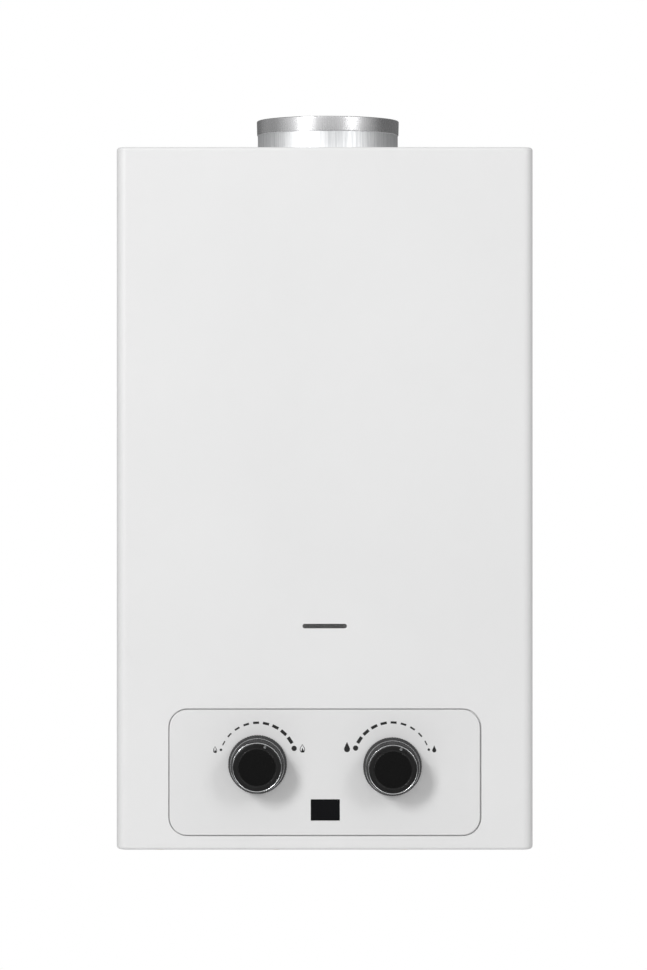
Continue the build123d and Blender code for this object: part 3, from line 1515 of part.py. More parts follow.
# Solenoid that opens the gas inlet, and its plunger with the rubber disc
solenoid_flange_half = 15.0
solenoid_flange_sheet = 2.0
solenoid_radius = 13.0
solenoid_left_x = -112.0
plunger_rod_radius = 3.0
plunger_disc_radius = 7.5
plunger_length = 48.0
plunger_bore_end_x = -100.0
terminal_width = 8.0
terminal_length = 10.0
terminal_right_x = -96.0
terminal_top_from_base = 45.0
with BuildPart() as gas_solenoid:
    add_box(
        (
            gas_body_left - solenoid_flange_sheet,
            valve_axis_y - solenoid_flange_half,
            solenoid_z - solenoid_flange_half,
        ),
        (gas_body_left, valve_axis_y + solenoid_flange_half, solenoid_z + solenoid_flange_half),
    )
    add_cylinder(
        along_x(solenoid_left_x, valve_axis_y, solenoid_z),
        solenoid_radius,
        gas_body_left - solenoid_left_x,
    )
    add_box(
        (terminal_right_x - terminal_length, valve_axis_y - terminal_width / 2, solenoid_z),
        (terminal_right_x, valve_axis_y + terminal_width / 2, from_base(terminal_top_from_base)),
    )
    add_cylinder(
        along_x(plunger_bore_end_x, valve_axis_y, solenoid_z),
        plunger_rod_radius + running_clearance,
        gas_body_left - plunger_bore_end_x + cut_overrun,
        Mode.SUBTRACT,
    )
write_piece(gas_solenoid, "gas_solenoid")

with BuildPart() as solenoid_plunger:
    add_cylinder(
        along_x(seat_x - disc_thickness, valve_axis_y, solenoid_z), plunger_disc_radius, disc_thickness
    )
    add_cylinder(
        along_x(seat_x - disc_thickness - plunger_length, valve_axis_y, solenoid_z),
        plunger_rod_radius,
        plunger_length,
    )
write_piece(solenoid_plunger, "solenoid_plunger")

# Flow switch under the arm, and its lever in front of the rod's collar
switch_right_x = 4.0
switch_bottom_from_base = 84.0
pivot_x = -2.9
pivot_from_base = 80.0
pivot_radius = 1.0
ear_half_width = 2.5
ear_thickness = 2.0
ear_drop = 2.5
lever_barrel_radius = 1.9
lever_half_width = 2.0
lever_sheet = 0.8
lever_tip_from_base = 67.0
lever_side_gap = 0.3
pivot_z = from_base(pivot_from_base)
with BuildPart() as micro_switch:
    add_box(
        (arm_left_x, valve_axis_y - switch_depth_half, from_base(switch_bottom_from_base)),
        (switch_right_x, valve_axis_y + switch_depth_half, from_base(arm_bottom_from_base)),
    )
    for ear_y in (valve_axis_y - switch_depth_half, valve_axis_y + switch_depth_half - ear_thickness):
        add_box(
            (pivot_x - ear_half_width, ear_y, pivot_z - ear_drop),
            (pivot_x + ear_half_width, ear_y + ear_thickness, from_base(switch_bottom_from_base)),
        )
    add_cylinder(
        along_y(pivot_x, valve_axis_y - switch_depth_half, pivot_z), pivot_radius, 2 * switch_depth_half
    )
write_piece(micro_switch, "micro_switch")

barrel_half_length = switch_depth_half - ear_thickness - lever_side_gap
with BuildPart() as switch_lever:
    add_cylinder(
        along_y(pivot_x, valve_axis_y - barrel_half_length, pivot_z),
        lever_barrel_radius,
        2 * barrel_half_length,
    )
    add_box(
        (
            pivot_x - lever_sheet / 2,
            valve_axis_y - lever_half_width,
            from_base(lever_tip_from_base),
        ),
        (pivot_x + lever_sheet / 2, valve_axis_y + lever_half_width, pivot_z),
    )
    add_cylinder(
        along_y(pivot_x, valve_axis_y - barrel_half_length - cut_overrun, pivot_z),
        pivot_radius + running_clearance,
        2 * (barrel_half_length + cut_overrun),
        Mode.SUBTRACT,
    )
write_piece(switch_lever, "switch_lever")

# Threaded pipe fittings seated on the bottom plate
fitting_upper_radius = 9.0
hot_fitting_top_from_base = 24.0


def make_fitting(x, top_from_base):
    """Straight fitting: male thread below the casing, hexagon on the plate, neck up to its top."""
    thread_bottom = from_base(thread_top_from_base - thread_length)
    with BuildPart() as fitting:
        add_cylinder(along_z(x, valve_axis_y, thread_bottom), thread_major_radius, thread_length)
        add_cylinder(
            along_z(x, valve_axis_y, thread_bottom), fitting_neck_radius, plate_top - thread_bottom
        )
        add_hexagon(along_z(x, valve_axis_y, plate_top), fitting_hex_across, fitting_hex_height)
        add_cylinder(
            along_z(x, valve_axis_y, plate_top), fitting_upper_radius, from_base(top_from_base) - plate_top
        )
        add_cylinder(
            along_z(x, valve_axis_y, thread_bottom - cut_overrun),
            exchanger_bore,
            from_base(top_from_base) - thread_bottom + 2 * cut_overrun,
            Mode.SUBTRACT,
        )
    return fitting


gas_inlet_fitting = make_fitting(gas_inlet_x, gas_body_bottom_from_base)
write_piece(gas_inlet_fitting, "gas_inlet_fitting")
cold_inlet_fitting = make_fitting(cold_inlet_x, water_body_bottom_from_base)
write_piece(cold_inlet_fitting, "cold_inlet_fitting")
hot_outlet_fitting = make_fitting(hot_outlet_x, hot_fitting_top_from_base)
write_piece(hot_outlet_fitting, "hot_outlet_fitting")

# Cold pipe: up from the water valve, twice round the chamber and into the exchanger
coil_gap = 0.65
coil_bend_radius = chamber_corner + coil_gap + pipe_radius
coil_side_x = chamber_width / 2 + coil_gap + pipe_radius
coil_front_y = core_y - chamber_depth / 2 - coil_gap - pipe_radius
coil_rear_y = core_y + chamber_depth / 2 + coil_gap + pipe_radius
cold_riser_wall_room = 28.0
upper_riser_wall_room = 22.0
cold_riser_x = cover_width / 2 - cold_riser_wall_room
upper_riser_x = cover_width / 2 - upper_riser_wall_room
coil_start_from_base = 205.0
coil_corner_from_base = 216.0
coil_rise = 7.5
coil_corners = 7
upper_bend_from_base = 304.0
pipe_bend_radius = 12.0
upper_bend_radius = 10.0
corner_places = [
    (coil_side_x, coil_front_y),
    (-coil_side_x, coil_front_y),
    (-coil_side_x, coil_rear_y),
    (coil_side_x, coil_rear_y),
]
cold_route = [
    (water_body_right - pipe_insertion, valve_axis_y, outlet_z),
    (cold_riser_x, valve_axis_y, outlet_z),
    (cold_riser_x, valve_axis_y, from_base(coil_start_from_base)),
]
for corner in range(coil_corners):
    corner_x, corner_y = corner_places[corner % len(corner_places)]
    cold_route.append((corner_x, corner_y, from_base(coil_corner_from_base + corner * coil_rise)))
cold_route += [
    (upper_riser_x, coil_rear_y, from_base(coil_corner_from_base + coil_corners * coil_rise)),
    (upper_riser_x, tube_ys[0], from_base(upper_bend_from_base)),
    (upper_riser_x, tube_ys[0], exchanger_z),
    (exchanger_half_length - pipe_insertion, tube_ys[0], exchanger_z),
]
with BuildPart() as cold_pipe:
    cold_radii = [pipe_bend_radius, pipe_bend_radius]
    cold_radii += [coil_bend_radius] * coil_corners
    cold_radii += [upper_bend_radius, upper_bend_radius, upper_bend_radius]
    sweep_tube(cold_route, cold_radii, pipe_radius, pipe_bore_radius)
write_piece(cold_pipe, "cold_pipe")

# Hot pipe: from the exchanger down the left side to the outlet fitting
hot_riser_x = -upper_riser_x
hot_bend_from_base = 110.0
hot_lower_bend_from_base = 60.0
hot_pipe_end_from_base = 12.0
with BuildPart() as hot_pipe:
    sweep_tube(
        [
            (-exchanger_half_length + pipe_insertion, tube_ys[-1], exchanger_z),
            (hot_riser_x, tube_ys[-1], exchanger_z),
            (hot_riser_x, tube_ys[-1], from_base(hot_bend_from_base)),
            (hot_outlet_x, valve_axis_y, from_base(hot_lower_bend_from_base)),
            (hot_outlet_x, valve_axis_y, from_base(hot_pipe_end_from_base)),
        ],
        pipe_bend_radius,
        pipe_radius,
        pipe_bore_radius,
    )
write_piece(hot_pipe, "hot_pipe")

# Union nuts on the pipe joints
union_across = 22.0
union_height = 6.0
with BuildPart() as union_nuts:
    add_hexagon(along_x(water_body_right, valve_axis_y, outlet_z), union_across, union_height)
    add_cylinder(
        along_x(water_body_right, valve_axis_y, outlet_z), exchanger_bore, union_height, Mode.SUBTRACT
    )
    hot_nut_plane = along_z(hot_outlet_x, valve_axis_y, from_base(hot_fitting_top_from_base))
    add_hexagon(hot_nut_plane, union_across, union_height)
    add_cylinder(hot_nut_plane, exchanger_bore, union_height, Mode.SUBTRACT)
    riser_nut_plane = along_z(riser_x, valve_axis_y, from_base(valve_top_from_base))
    add_hexagon(riser_nut_plane, union_across, union_height)
    add_cylinder(riser_nut_plane, riser_radius + slip_clearance, union_height, Mode.SUBTRACT)
write_piece(union_nuts, "union_nuts")

# Drain plug in the boss under the water valve
drain_head_radius = 8.5
drain_head_height = 8.0
drain_head_gap = 0.3
drain_groove_count = 24
drain_groove_radius = 0.7
with BuildPart() as drain_plug:
    head_top = from_base(drain_boss_bottom_from_base) - drain_head_gap
    add_cylinder(
        along_z(drain_x, valve_axis_y, head_top - drain_head_height), drain_head_radius, drain_head_height
    )
    add_cylinder(
        along_z(drain_x, valve_axis_y, head_top),
        drain_stem_radius,
        drain_stem_length + drain_head_gap,
    )
    with BuildSketch(along_z(drain_x, valve_axis_y, head_top)) as head_grooves:
        with PolarLocations(drain_head_radius, drain_groove_count):
            Circle(drain_groove_radius)
    extrude(head_grooves.sketch, amount=-drain_head_height, mode=Mode.SUBTRACT)
write_piece(drain_plug, "drain_plug")

# Battery box, cells, contacts and the hinged door below
box_half_width = box_inner_half_width + box_wall
box_left_x = battery_x - box_half_width
box_right_x = battery_x + box_half_width
cells_front_y = box_front_y + box_wall + contact_room
cells_rear_y = battery_rear_y - box_wall - contact_room
cell_z = from_base(cell_axis_from_base)
with BuildPart() as battery_box:
    add_box(
        (box_left_x, box_front_y, plate_top), (box_right_x, battery_rear_y, from_base(box_top_from_base))
    )
    add_box(
        (box_left_x + box_wall, box_front_y + box_wall, plate_top - cut_overrun),
        (box_right_x - box_wall, battery_rear_y - box_wall, from_base(box_top_from_base) - box_wall),
        Mode.SUBTRACT,
    )
write_piece(battery_box, "battery_box")

with BuildPart() as battery_cells:
    for cell_index in range(cell_count):
        cell_front_y = cells_front_y + cell_index * cell_length
        add_cylinder(along_y(battery_x, cell_front_y, cell_z), cell_nub_radius, cell_nub_length)
        add_cylinder(
            along_y(battery_x, cell_front_y + cell_nub_length, cell_z),
            cell_radius,
            cell_length - cell_nub_length,
        )
write_piece(battery_cells, "battery_cells")

contact_half_width = 10.0
contact_sheet = 0.5
contact_boss_radius = 4.0
with BuildPart() as battery_contacts:
    for plate_y, boss_y in (
        (box_front_y + box_wall, box_front_y + box_wall),
        (battery_rear_y - box_wall - contact_sheet, cells_rear_y),
    ):
        add_box(
            (battery_x - contact_half_width, plate_y, cell_z - contact_half_width),
            (battery_x + contact_half_width, plate_y + contact_sheet, cell_z + contact_half_width),
        )
        add_cylinder(along_y(battery_x, boss_y, cell_z), contact_boss_radius, contact_room)
write_piece(battery_contacts, "battery_contacts")

door_left_x = battery_x - box_inner_half_width - door_overlap
door_plate_right_x = door_hinge_x - door_lug_half_width - 2 * cover_fit - door_lug_half_width / 2
door_top = tray_bottom - door_top_gap
door_rib_spread = 18.0
door_rib_width = 2.0
door_end_gap = 0.3
barrel_front_y = door_lug_front_y + door_lug_length + door_end_gap
barrel_rear_y = door_lug_rear_y - door_end_gap
with BuildPart() as battery_door:
    add_box(
        (door_left_x, box_front_y, door_top - door_thickness),
        (door_plate_right_x, battery_rear_y, door_top),
    )
    add_box(
        (door_plate_right_x, barrel_front_y, door_top - door_thickness),
        (door_hinge_x, barrel_rear_y, door_top),
    )
    add_cylinder(
        along_y(door_hinge_x, barrel_front_y, door_hinge_z),
        door_hinge_radius,
        barrel_rear_y - barrel_front_y,
    )
    add_cylinder(
        along_y(door_hinge_x, door_lug_front_y, door_hinge_z),
        door_pin_radius,
        door_lug_rear_y + door_lug_length - door_lug_front_y,
    )
    for rib_x in (battery_x - door_rib_spread / 2, battery_x + door_rib_spread / 2):
        add_box(
            (rib_x - door_rib_width / 2, cells_front_y, door_top),
            (rib_x + door_rib_width / 2, cells_rear_y, cell_z - cell_radius - cell_gap),
        )
write_piece(battery_door, "battery_door")

# Pulse igniter box on the back plate
igniter_wall_room = 6.0
igniter_width = 42.0
igniter_left_x = -(cover_width / 2 - igniter_wall_room)
igniter_right_x = igniter_left_x + igniter_width
igniter_front_y = -36.0
igniter_bottom_from_base = 60.0
igniter_top_from_base = 140.0
igniter_round = 2.0
with BuildPart() as igniter_box:
    add_box(
        (igniter_left_x, igniter_front_y, from_base(igniter_bottom_from_base)),
        (igniter_right_x, -plate_sheet, from_base(igniter_top_from_base)),
    )
    fillet(igniter_box.edges().filter_by(Axis.Y), igniter_round)
write_piece(igniter_box, "igniter_box")

# Small screws inside the casing
with BuildPart() as inner_screws:
    add_screws(
        along_y(0, board_front_y + board_sheet, window_z),
        [(-board_boss_spread / 2, 0), (board_boss_spread / 2, 0)],
    )
    add_screws(
        along_z(collar_offset_x, core_y, hood_top + collar_flange_sheet),
        [
            (
                collar_screw_circle * cos(radians(collar_screw_angle + full_turn / collar_screw_count * turn)),
                collar_screw_circle * sin(radians(collar_screw_angle + full_turn / collar_screw_count * turn)),
            )
            for turn in range(collar_screw_count)
        ],
    )
    add_screws(Plane.XY.offset(chamber_bottom + chamber_sheet), flange_screws)
write_piece(inner_screws, "inner_screws")

# High-voltage leads from the igniter to the electrodes
lead_radius = 1.5
lead_bend_radius = 6.0
lead_end_bend_radius = 4.0
ceramic_end_y = chamber_front_y - ceramic_outside
ignition_lead_inset = 10.0
sensor_lead_inset = 4.0
ignition_lead_x = igniter_right_x - ignition_lead_inset
sensor_lead_x = igniter_right_x - sensor_lead_inset
ignition_lead_from_base = 125.0
sensor_lead_from_base = 115.0
lead_step = 9.0
ignition_lane_y = -157.0
lead_spacing = 0.4
sensor_lane_y = ignition_lane_y + 2 * lead_radius + lead_spacing
with BuildPart() as ignition_leads:
    sweep_tube(
        [
            (ignition_lead_x, igniter_front_y, from_base(ignition_lead_from_base)),
            (ignition_lead_x, ignition_lane_y, from_base(ignition_lead_from_base)),
            (-electrode_spread, ignition_lane_y, electrode_z),
            (-electrode_spread / 2, ceramic_end_y - lead_step, electrode_z),
            (-electrode_spread / 2, ceramic_end_y, electrode_z),
        ],
        [lead_bend_radius, lead_bend_radius, lead_end_bend_radius],
        lead_radius,
    )
    sweep_tube(
        [
            (sensor_lead_x, igniter_front_y, from_base(sensor_lead_from_base)),
            (sensor_lead_x, sensor_lane_y, from_base(sensor_lead_from_base)),
            (-electrode_spread, sensor_lane_y, electrode_z + 2 * lead_step),
            (electrode_spread / 2, sensor_lane_y, electrode_z + lead_step),
            (electrode_spread / 2, ceramic_end_y - lead_step, electrode_z),
            (electrode_spread / 2, ceramic_end_y, electrode_z),
        ],
        [lead_bend_radius, lead_bend_radius, lead_end_bend_radius, lead_end_bend_radius],
        lead_radius,
    )
write_piece(ignition_leads, "ignition_leads")

# Low-voltage leads: solenoid, flow switch, batteries and display
control_lead_radius = 1.2
solenoid_lead_x = -120.0
solenoid_lead_y = -22.0
solenoid_lead_drop = 8.0
terminal_middle_x = terminal_right_x - terminal_length / 2
switch_lead_y = -24.0
switch_lead_x = -8.0
switch_lead_from_base = 89.0
battery_lead_y = -12.0
battery_lead_from_base = 75.0
battery_lead_turn_x = 78.0
battery_lead_end_y = -30.0
battery_lead_end_from_base = 30.0
display_lead_x = -90.0
display_lead_y = -30.0
display_lead_from_base = 112.0
display_lead_front_y = -138.0
display_lead_end_x = -14.0
display_lead_end_from_base = 38.0
solenoid_lead_turn = from_base(igniter_bottom_from_base) - solenoid_lead_drop
display_lead_end_z = from_base(display_lead_end_from_base)
with BuildPart() as control_leads:
    sweep_tube(
        [
            (solenoid_lead_x, solenoid_lead_y, from_base(igniter_bottom_from_base)),
            (solenoid_lead_x, solenoid_lead_y, solenoid_lead_turn),
            (terminal_middle_x, valve_axis_y, solenoid_lead_turn),
            (terminal_middle_x, valve_axis_y, from_base(terminal_top_from_base)),
        ],
        lead_end_bend_radius,
        control_lead_radius,
    )
    sweep_tube(
        [
            (igniter_right_x, switch_lead_y, from_base(switch_lead_from_base)),
            (switch_lead_x, switch_lead_y, from_base(switch_lead_from_base)),
            (switch_lead_x, valve_axis_y + switch_depth_half, from_base(switch_lead_from_base)),
        ],
        lead_bend_radius,
        control_lead_radius,
    )
    sweep_tube(
        [
            (igniter_right_x, battery_lead_y, from_base(battery_lead_from_base)),
            (battery_lead_turn_x, battery_lead_y, from_base(battery_lead_from_base)),
            (battery_lead_turn_x + lead_step, battery_lead_end_y, from_base(battery_lead_end_from_base)),
            (box_left_x, battery_lead_end_y, from_base(battery_lead_end_from_base)),
        ],
        lead_bend_radius,
        control_lead_radius,
    )
    sweep_tube(
        [
            (igniter_right_x, display_lead_y, from_base(display_lead_from_base)),
            (display_lead_x, display_lead_y, from_base(display_lead_from_base)),
            (display_lead_x, display_lead_front_y, from_base(display_lead_from_base)),
            (display_lead_x, display_lead_front_y, display_lead_end_z),
            (display_lead_end_x, display_lead_front_y, display_lead_end_z),
            (display_lead_end_x, board_front_y + board_sheet, display_lead_end_z),
        ],
        lead_bend_radius,
        control_lead_radius,
    )
write_piece(control_leads, "control_leads")
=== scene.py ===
"""Finish, light and camera for the wall-hung gas water heater."""

from math import cos, pi, radians, sin, sqrt

import bmesh
import bpy
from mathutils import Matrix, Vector


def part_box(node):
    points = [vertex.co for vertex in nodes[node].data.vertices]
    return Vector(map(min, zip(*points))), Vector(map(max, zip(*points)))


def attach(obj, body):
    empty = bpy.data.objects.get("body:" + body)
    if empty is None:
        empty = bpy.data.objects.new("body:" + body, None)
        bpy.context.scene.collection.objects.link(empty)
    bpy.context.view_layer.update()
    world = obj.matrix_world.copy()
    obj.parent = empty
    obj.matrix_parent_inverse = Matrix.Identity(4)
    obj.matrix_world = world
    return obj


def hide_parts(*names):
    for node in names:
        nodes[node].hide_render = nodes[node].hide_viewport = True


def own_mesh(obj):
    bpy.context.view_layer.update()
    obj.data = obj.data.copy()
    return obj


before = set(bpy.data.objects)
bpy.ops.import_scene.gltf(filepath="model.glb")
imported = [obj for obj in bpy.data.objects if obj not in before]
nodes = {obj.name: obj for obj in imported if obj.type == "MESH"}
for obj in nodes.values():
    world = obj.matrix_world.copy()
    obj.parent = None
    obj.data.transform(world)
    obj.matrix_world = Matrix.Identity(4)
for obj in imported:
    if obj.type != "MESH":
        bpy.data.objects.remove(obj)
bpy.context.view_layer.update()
scene = bpy.context.scene
MM = 0.001

# Sizes that the pieces share with the solids, in millimetres
COVER_HALF_WIDTH = 156.0
COVER_HALF_HEIGHT = 263.0
COVER_FRONT = -165.0
COVER_REAR = -1.2
COVER_SHEET = 0.8
SIDE_BEND = 8.0
EDGE_BEND = 2.5
PANEL_Z = -205.0
PANEL_HALF_WIDTH = 116.2
PANEL_HALF_HEIGHT = 46.9
PANEL_CORNER = 13.4
PANEL_GAP = 0.9
OPENING_SHIFT = (0.17, 0.2)
PANEL_FACE = -164.9
PANEL_STEP = -163.9
PANEL_BACK = -162.4
PANEL_SIDE_FLANGE = 8.5
PANEL_TOP_FLANGE = 3.0
PANEL_GROOVE = 2.0
PANEL_GROOVE_DEPTH = 0.9
STUD_X = 120.45
STUD_HALF_SPREAD = 30.0
STUD_HOLE = 1.8
SLOT_Z = -95.45
SLOT_LENGTH = 33.2
SLOT_HEIGHT = 3.4
WINDOW_X = 0.45
WINDOW_Z = -233.0
WINDOW_WIDTH = 21.6
WINDOW_HEIGHT = 15.8
CORE_X = 2.4
CORE_Y = -80.0
NOTCH_RADIUS = 55.8
BOTTOM_HALF = 149.0
BOTTOM_FRONT = -152.0
SCREW_Y = -8.2
SCREW_Z = 200.0
PIPE_Y = -60.0
GAS_KNOB = (-50.2, -198.8)
WATER_KNOB = (50.7, -200.4)
KNOB_BASE = -165.9
KNOB_TURN_RIBS = 72
KNOB_HEIGHT = 17.4
RING_OUTER = 18.6
RING_BORE = 17.6
RING_WALL = 1.45
RING_ROUND = 0.45
# Outside this radius the chrome ring takes black plastic: partly the black grip beside a thin chrome line,
# partly painted shade for the dark band below the ring
RING_GRIP_AND_SHADE_RADIUS = 18.35
CAP_RADIUS = 17.55
CAP_WALL = 1.7
CAP_ROUND = 0.5
STEM_HOLE = 5.5
SCREW_HOLE = 2.25
BOSS_X = 20.0
PANEL_ROUND = 0.6
WINDOW_CLEARANCE = 0.1
WINDOW_CORNER = 0.3
PAST_REAR = 5.0
CUT_REACH = 3.0
INK_RISE = 0.04
INK_SINK = 0.02
DIAL_RADIUS = 28.85
DASH_COUNT = 9
DASH_START = 152.0
DASH_STEP = 14.87
DASH_WIDTH = 0.88
DASH_WIDTH_STEP = 0.21
DASH_LENGTH = 3.55
DASH_LENGTH_STEP = 0.235
THREAD_LENGTH = 13.0
THREAD_PITCH = 1.814
THREAD_RADIUS = 10.46
THREAD_DEPTH = 1.10
BOTTOM_TOP_RISE = 2.2
HEX_HALF = 13.5
HEX_STEPS = 96
POINTER_TURN = -21.0
POINTER_RADIUS = 16.5
COLLAR_RISE = 25.8
COLLAR_RIM = 11.2
COLLAR_SINK = 22.0
COLLAR_SCREW_RADIUS = 60.5
EDGE_REACH = 4.0


def link(obj):
    scene.collection.objects.link(obj)
    return obj


def mesh_piece(name, points, faces, body, finish_slot, smooth=True):
    """A new mesh piece from points in millimetres."""
    mesh = bpy.data.meshes.new(name)
    mesh.from_pydata([(x * MM, y * MM, z * MM) for x, y, z in points], [], faces)
    mesh.validate()
    mesh.update()
    obj = link(bpy.data.objects.new(name, mesh))
    if smooth:
        mesh.polygons.foreach_set("use_smooth", [True] * len(mesh.polygons))
    fix_normals(obj)
    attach(obj, body)
    return obj


def fix_normals(obj):
    work = bmesh.new()
    work.from_mesh(obj.data)
    bmesh.ops.remove_doubles(work, verts=work.verts, dist=1e-7)
    bmesh.ops.recalc_face_normals(work, faces=work.faces)
    work.to_mesh(obj.data)
    work.free()


def sharpen(obj, degrees=30):
    """Marks sharp edges so that smooth shading stops at them."""
    work = bmesh.new()
    work.from_mesh(obj.data)
    limit = radians(degrees)
    for edge in work.edges:
        edge.smooth = len(edge.link_faces) == 2 and edge.calc_face_angle(0) < limit
    for face in work.faces:
        face.smooth = True
    work.to_mesh(obj.data)
    work.free()


def apply_modifiers(obj):
    """Replaces the mesh by its evaluated form."""
    bpy.context.view_layer.update()
    graph = bpy.context.evaluated_depsgraph_get()
    result = bpy.data.meshes.new_from_object(obj.evaluated_get(graph), depsgraph=graph)
    obj.modifiers.clear()
    old = obj.data
    obj.data = result
    bpy.data.meshes.remove(old)


def rounded_outline(half_width, half_height, radius, steps=10):
    """Corner-rounded rectangle round the origin, anticlockwise."""
    points = []
    for sx, sz, start in ((1, -1, -90), (1, 1, 0), (-1, 1, 90), (-1, -1, 180)):
        cx = sx * (half_width - radius)
        cz = sz * (half_height - radius)
        for step in range(steps + 1):
            angle = radians(start + 90 * step / steps)
            points.append((cx + radius * cos(angle), cz + radius * sin(angle)))
    return points


def circle(radius, steps=28):
    return [(radius * cos(2 * pi * i / steps), radius * sin(2 * pi * i / steps)) for i in range(steps)]


def prism_points(outline, y_front, y_back, centre=(0, 0)):
    """Points and faces of an outline in X and Z, drawn out along Y."""
    count = len(outline)
    points = [(x + centre[0], y_front, z + centre[1]) for x, z in outline]
    points += [(x + centre[0], y_back, z + centre[1]) for x, z in outline]
    faces = [tuple(range(count)), tuple(reversed(range(count, 2 * count)))]
    faces += [(i, count + i, count + (i + 1) % count, (i + 1) % count) for i in range(count)]
    return points, faces


def cutter(points, faces):
    """A helper solid in millimetres for a boolean cut; cut() removes it afterwards."""
    mesh = bpy.data.meshes.new("cut")
    mesh.from_pydata([(x * MM, y * MM, z * MM) for x, y, z in points], [], faces)
    obj = link(bpy.data.objects.new("cut", mesh))
    fix_normals(obj)
    return obj


def cut(obj, tools):
    for tool in tools:
        step = obj.modifiers.new("cut", "BOOLEAN")
        step.operation = "DIFFERENCE"
        step.solver = "EXACT"
        step.object = tool
    apply_modifiers(obj)
    for tool in tools:
        bpy.data.objects.remove(tool)


def soften(obj, width, segments=3, angle=40):
    """Small rounded edges; width in millimetres."""
    step = obj.modifiers.new("edge", "BEVEL")
    step.width = width * MM
    step.segments = segments
    step.limit_method = "ANGLE"
    step.angle_limit = radians(angle)
    step.use_clamp_overlap = True
    apply_modifiers(obj)


def weight_normals(obj):
    """Weighted normals, so that flat faces stay flat beside rounded edges."""
    for face in obj.data.polygons:
        face.use_smooth = True
    step = obj.modifiers.new("normals", "WEIGHTED_NORMAL")
    step.keep_sharp = True
    step.weight = 50
    apply_modifiers(obj)


def ring_faces(a, b, segments):
    """Faces between two rings whose points start at a and b."""
    return [
        (a + turn, a + (turn + 1) % segments, b + (turn + 1) % segments, b + turn) for turn in range(segments)
    ]


def lathe(profile, segments):
    """Points and faces of a profile of (radius, height) turned round Z."""
    rows = len(profile)
    points = []
    for radius, height in profile:
        for turn in range(segments):
            angle = 2 * pi * turn / segments
            points.append((radius * cos(angle), radius * sin(angle), height))
    faces = []
    for row in range(rows):
        faces += ring_faces(row * segments, (row + 1) % rows * segments, segments)
    return points, faces


def to_front(points, x, y, z):
    """Turns a piece built round Z so that its Z points out of the front, at the place."""
    return [(x + px, y - pz, z + py) for px, py, pz in points]


def moved(points, x, y, z):
    return [(x + px, y + py, z + pz) for px, py, pz in points]


def joined(*parts):
    """One list of points and faces from several."""
    points, faces = [], []
    for part_points, part_faces in parts:
        start = len(points)
        points += part_points
        faces += [tuple(start + i for i in face) for face in part_faces]
    return points, faces


# Camera, at the photograph's place
camera_data = bpy.data.cameras.new("camera")
camera_data.sensor_width = 36.0
camera_data.sensor_fit = "AUTO"
camera_data.lens = 116.9
camera_data.shift_x = -0.0015
camera_data.shift_y = -0.1082
camera_data.clip_start = 0.05
camera_data.clip_end = 60.0
camera = link(bpy.data.objects.new("camera", camera_data))
camera.location = (0.0002, -2.521, 0.0886)
camera.rotation_euler = (radians(90), 0, 0)
scene.camera = camera

# Colour management and world
scene.view_settings.view_transform = "Standard"
world = bpy.data.worlds.new("studio")
scene.world = world
world.use_nodes = True
wt = world.node_tree
wt.nodes.clear()


def world_node(kind, **values):
    node = wt.nodes.new(kind)
    for key, value in values.items():
        setattr(node, key, value)
    return node


w_out = world_node("ShaderNodeOutputWorld")
w_path = world_node("ShaderNodeLightPath")
w_coord = world_node("ShaderNodeTexCoord")
w_split = world_node("ShaderNodeSeparateXYZ")
wt.links.new(w_coord.outputs["Generated"], w_split.inputs[0])


def world_range(source, low, high, to_low, to_high):
    node = world_node("ShaderNodeMapRange", interpolation_type="SMOOTHSTEP")
    wt.links.new(source, node.inputs["Value"])
    node.inputs["From Min"].default_value = low
    node.inputs["From Max"].default_value = high
    node.inputs["To Min"].default_value = to_low
    node.inputs["To Max"].default_value = to_high
    return node.outputs["Result"]


def world_math(operation, first, second):
    node = world_node("ShaderNodeMath", operation=operation)
    for index, value in enumerate((first, second)):
        if isinstance(value, (int, float)):
            node.inputs[index].default_value = value
        else:
            wt.links.new(value, node.inputs[index])
    return node.outputs[0]


# Mirror rays see a studio that is bright above the front, dimmer on the left and dark behind and below
above = world_range(w_split.outputs["Z"], -0.04, 0.06, 0.0, 1.0)
front = world_range(w_split.outputs["Y"], -0.75, 0.15, 0.80, 0.06)
left = world_range(w_split.outputs["X"], -0.95, -0.5, 0.22, 0.0)
front = world_math("ADD", front, left)
studio = world_math("MULTIPLY", above, front)
below = world_range(w_split.outputs["Z"], -0.35, -0.04, 0.03, 0.10)
studio = world_math("ADD", studio, below)
studio_light = world_node("ShaderNodeBackground")
wt.links.new(studio, studio_light.inputs["Strength"])
# Soft light on matt faces comes from the front, from the right and from above
from_front = world_math("MULTIPLY", w_split.outputs["Y"], -0.10)
from_front = world_math("MAXIMUM", from_front, 0.0)
from_right = world_math("MULTIPLY", w_split.outputs["X"], 0.30)
from_right = world_math("MAXIMUM", from_right, 0.0)
from_above = world_range(w_split.outputs["Z"], 0.25, 0.9, 0.18, 0.48)
from_below = world_range(w_split.outputs["Z"], -0.9, -0.3, -0.06, 0.0)
ambient = world_math("ADD", from_front, from_above)
ambient = world_math("ADD", ambient, from_right)
ambient = world_math("ADD", ambient, from_below)
plain_light = world_node("ShaderNodeBackground")
wt.links.new(ambient, plain_light.inputs["Strength"])
white_light = world_node("ShaderNodeBackground")
for light in (studio_light, plain_light, white_light):
    light.inputs["Color"].default_value = (1, 1, 1, 1)
mix_glossy = world_node("ShaderNodeMixShader")
wt.links.new(w_path.outputs["Is Glossy Ray"], mix_glossy.inputs[0])
wt.links.new(plain_light.outputs[0], mix_glossy.inputs[1])
wt.links.new(studio_light.outputs[0], mix_glossy.inputs[2])
seen = world_math("MAXIMUM", w_path.outputs["Is Camera Ray"], w_path.outputs["Is Transmission Ray"])
mix_seen = world_node("ShaderNodeMixShader")
wt.links.new(seen, mix_seen.inputs[0])
wt.links.new(mix_glossy.outputs[0], mix_seen.inputs[1])
wt.links.new(white_light.outputs[0], mix_seen.inputs[2])
wt.links.new(mix_seen.outputs[0], w_out.inputs["Surface"])


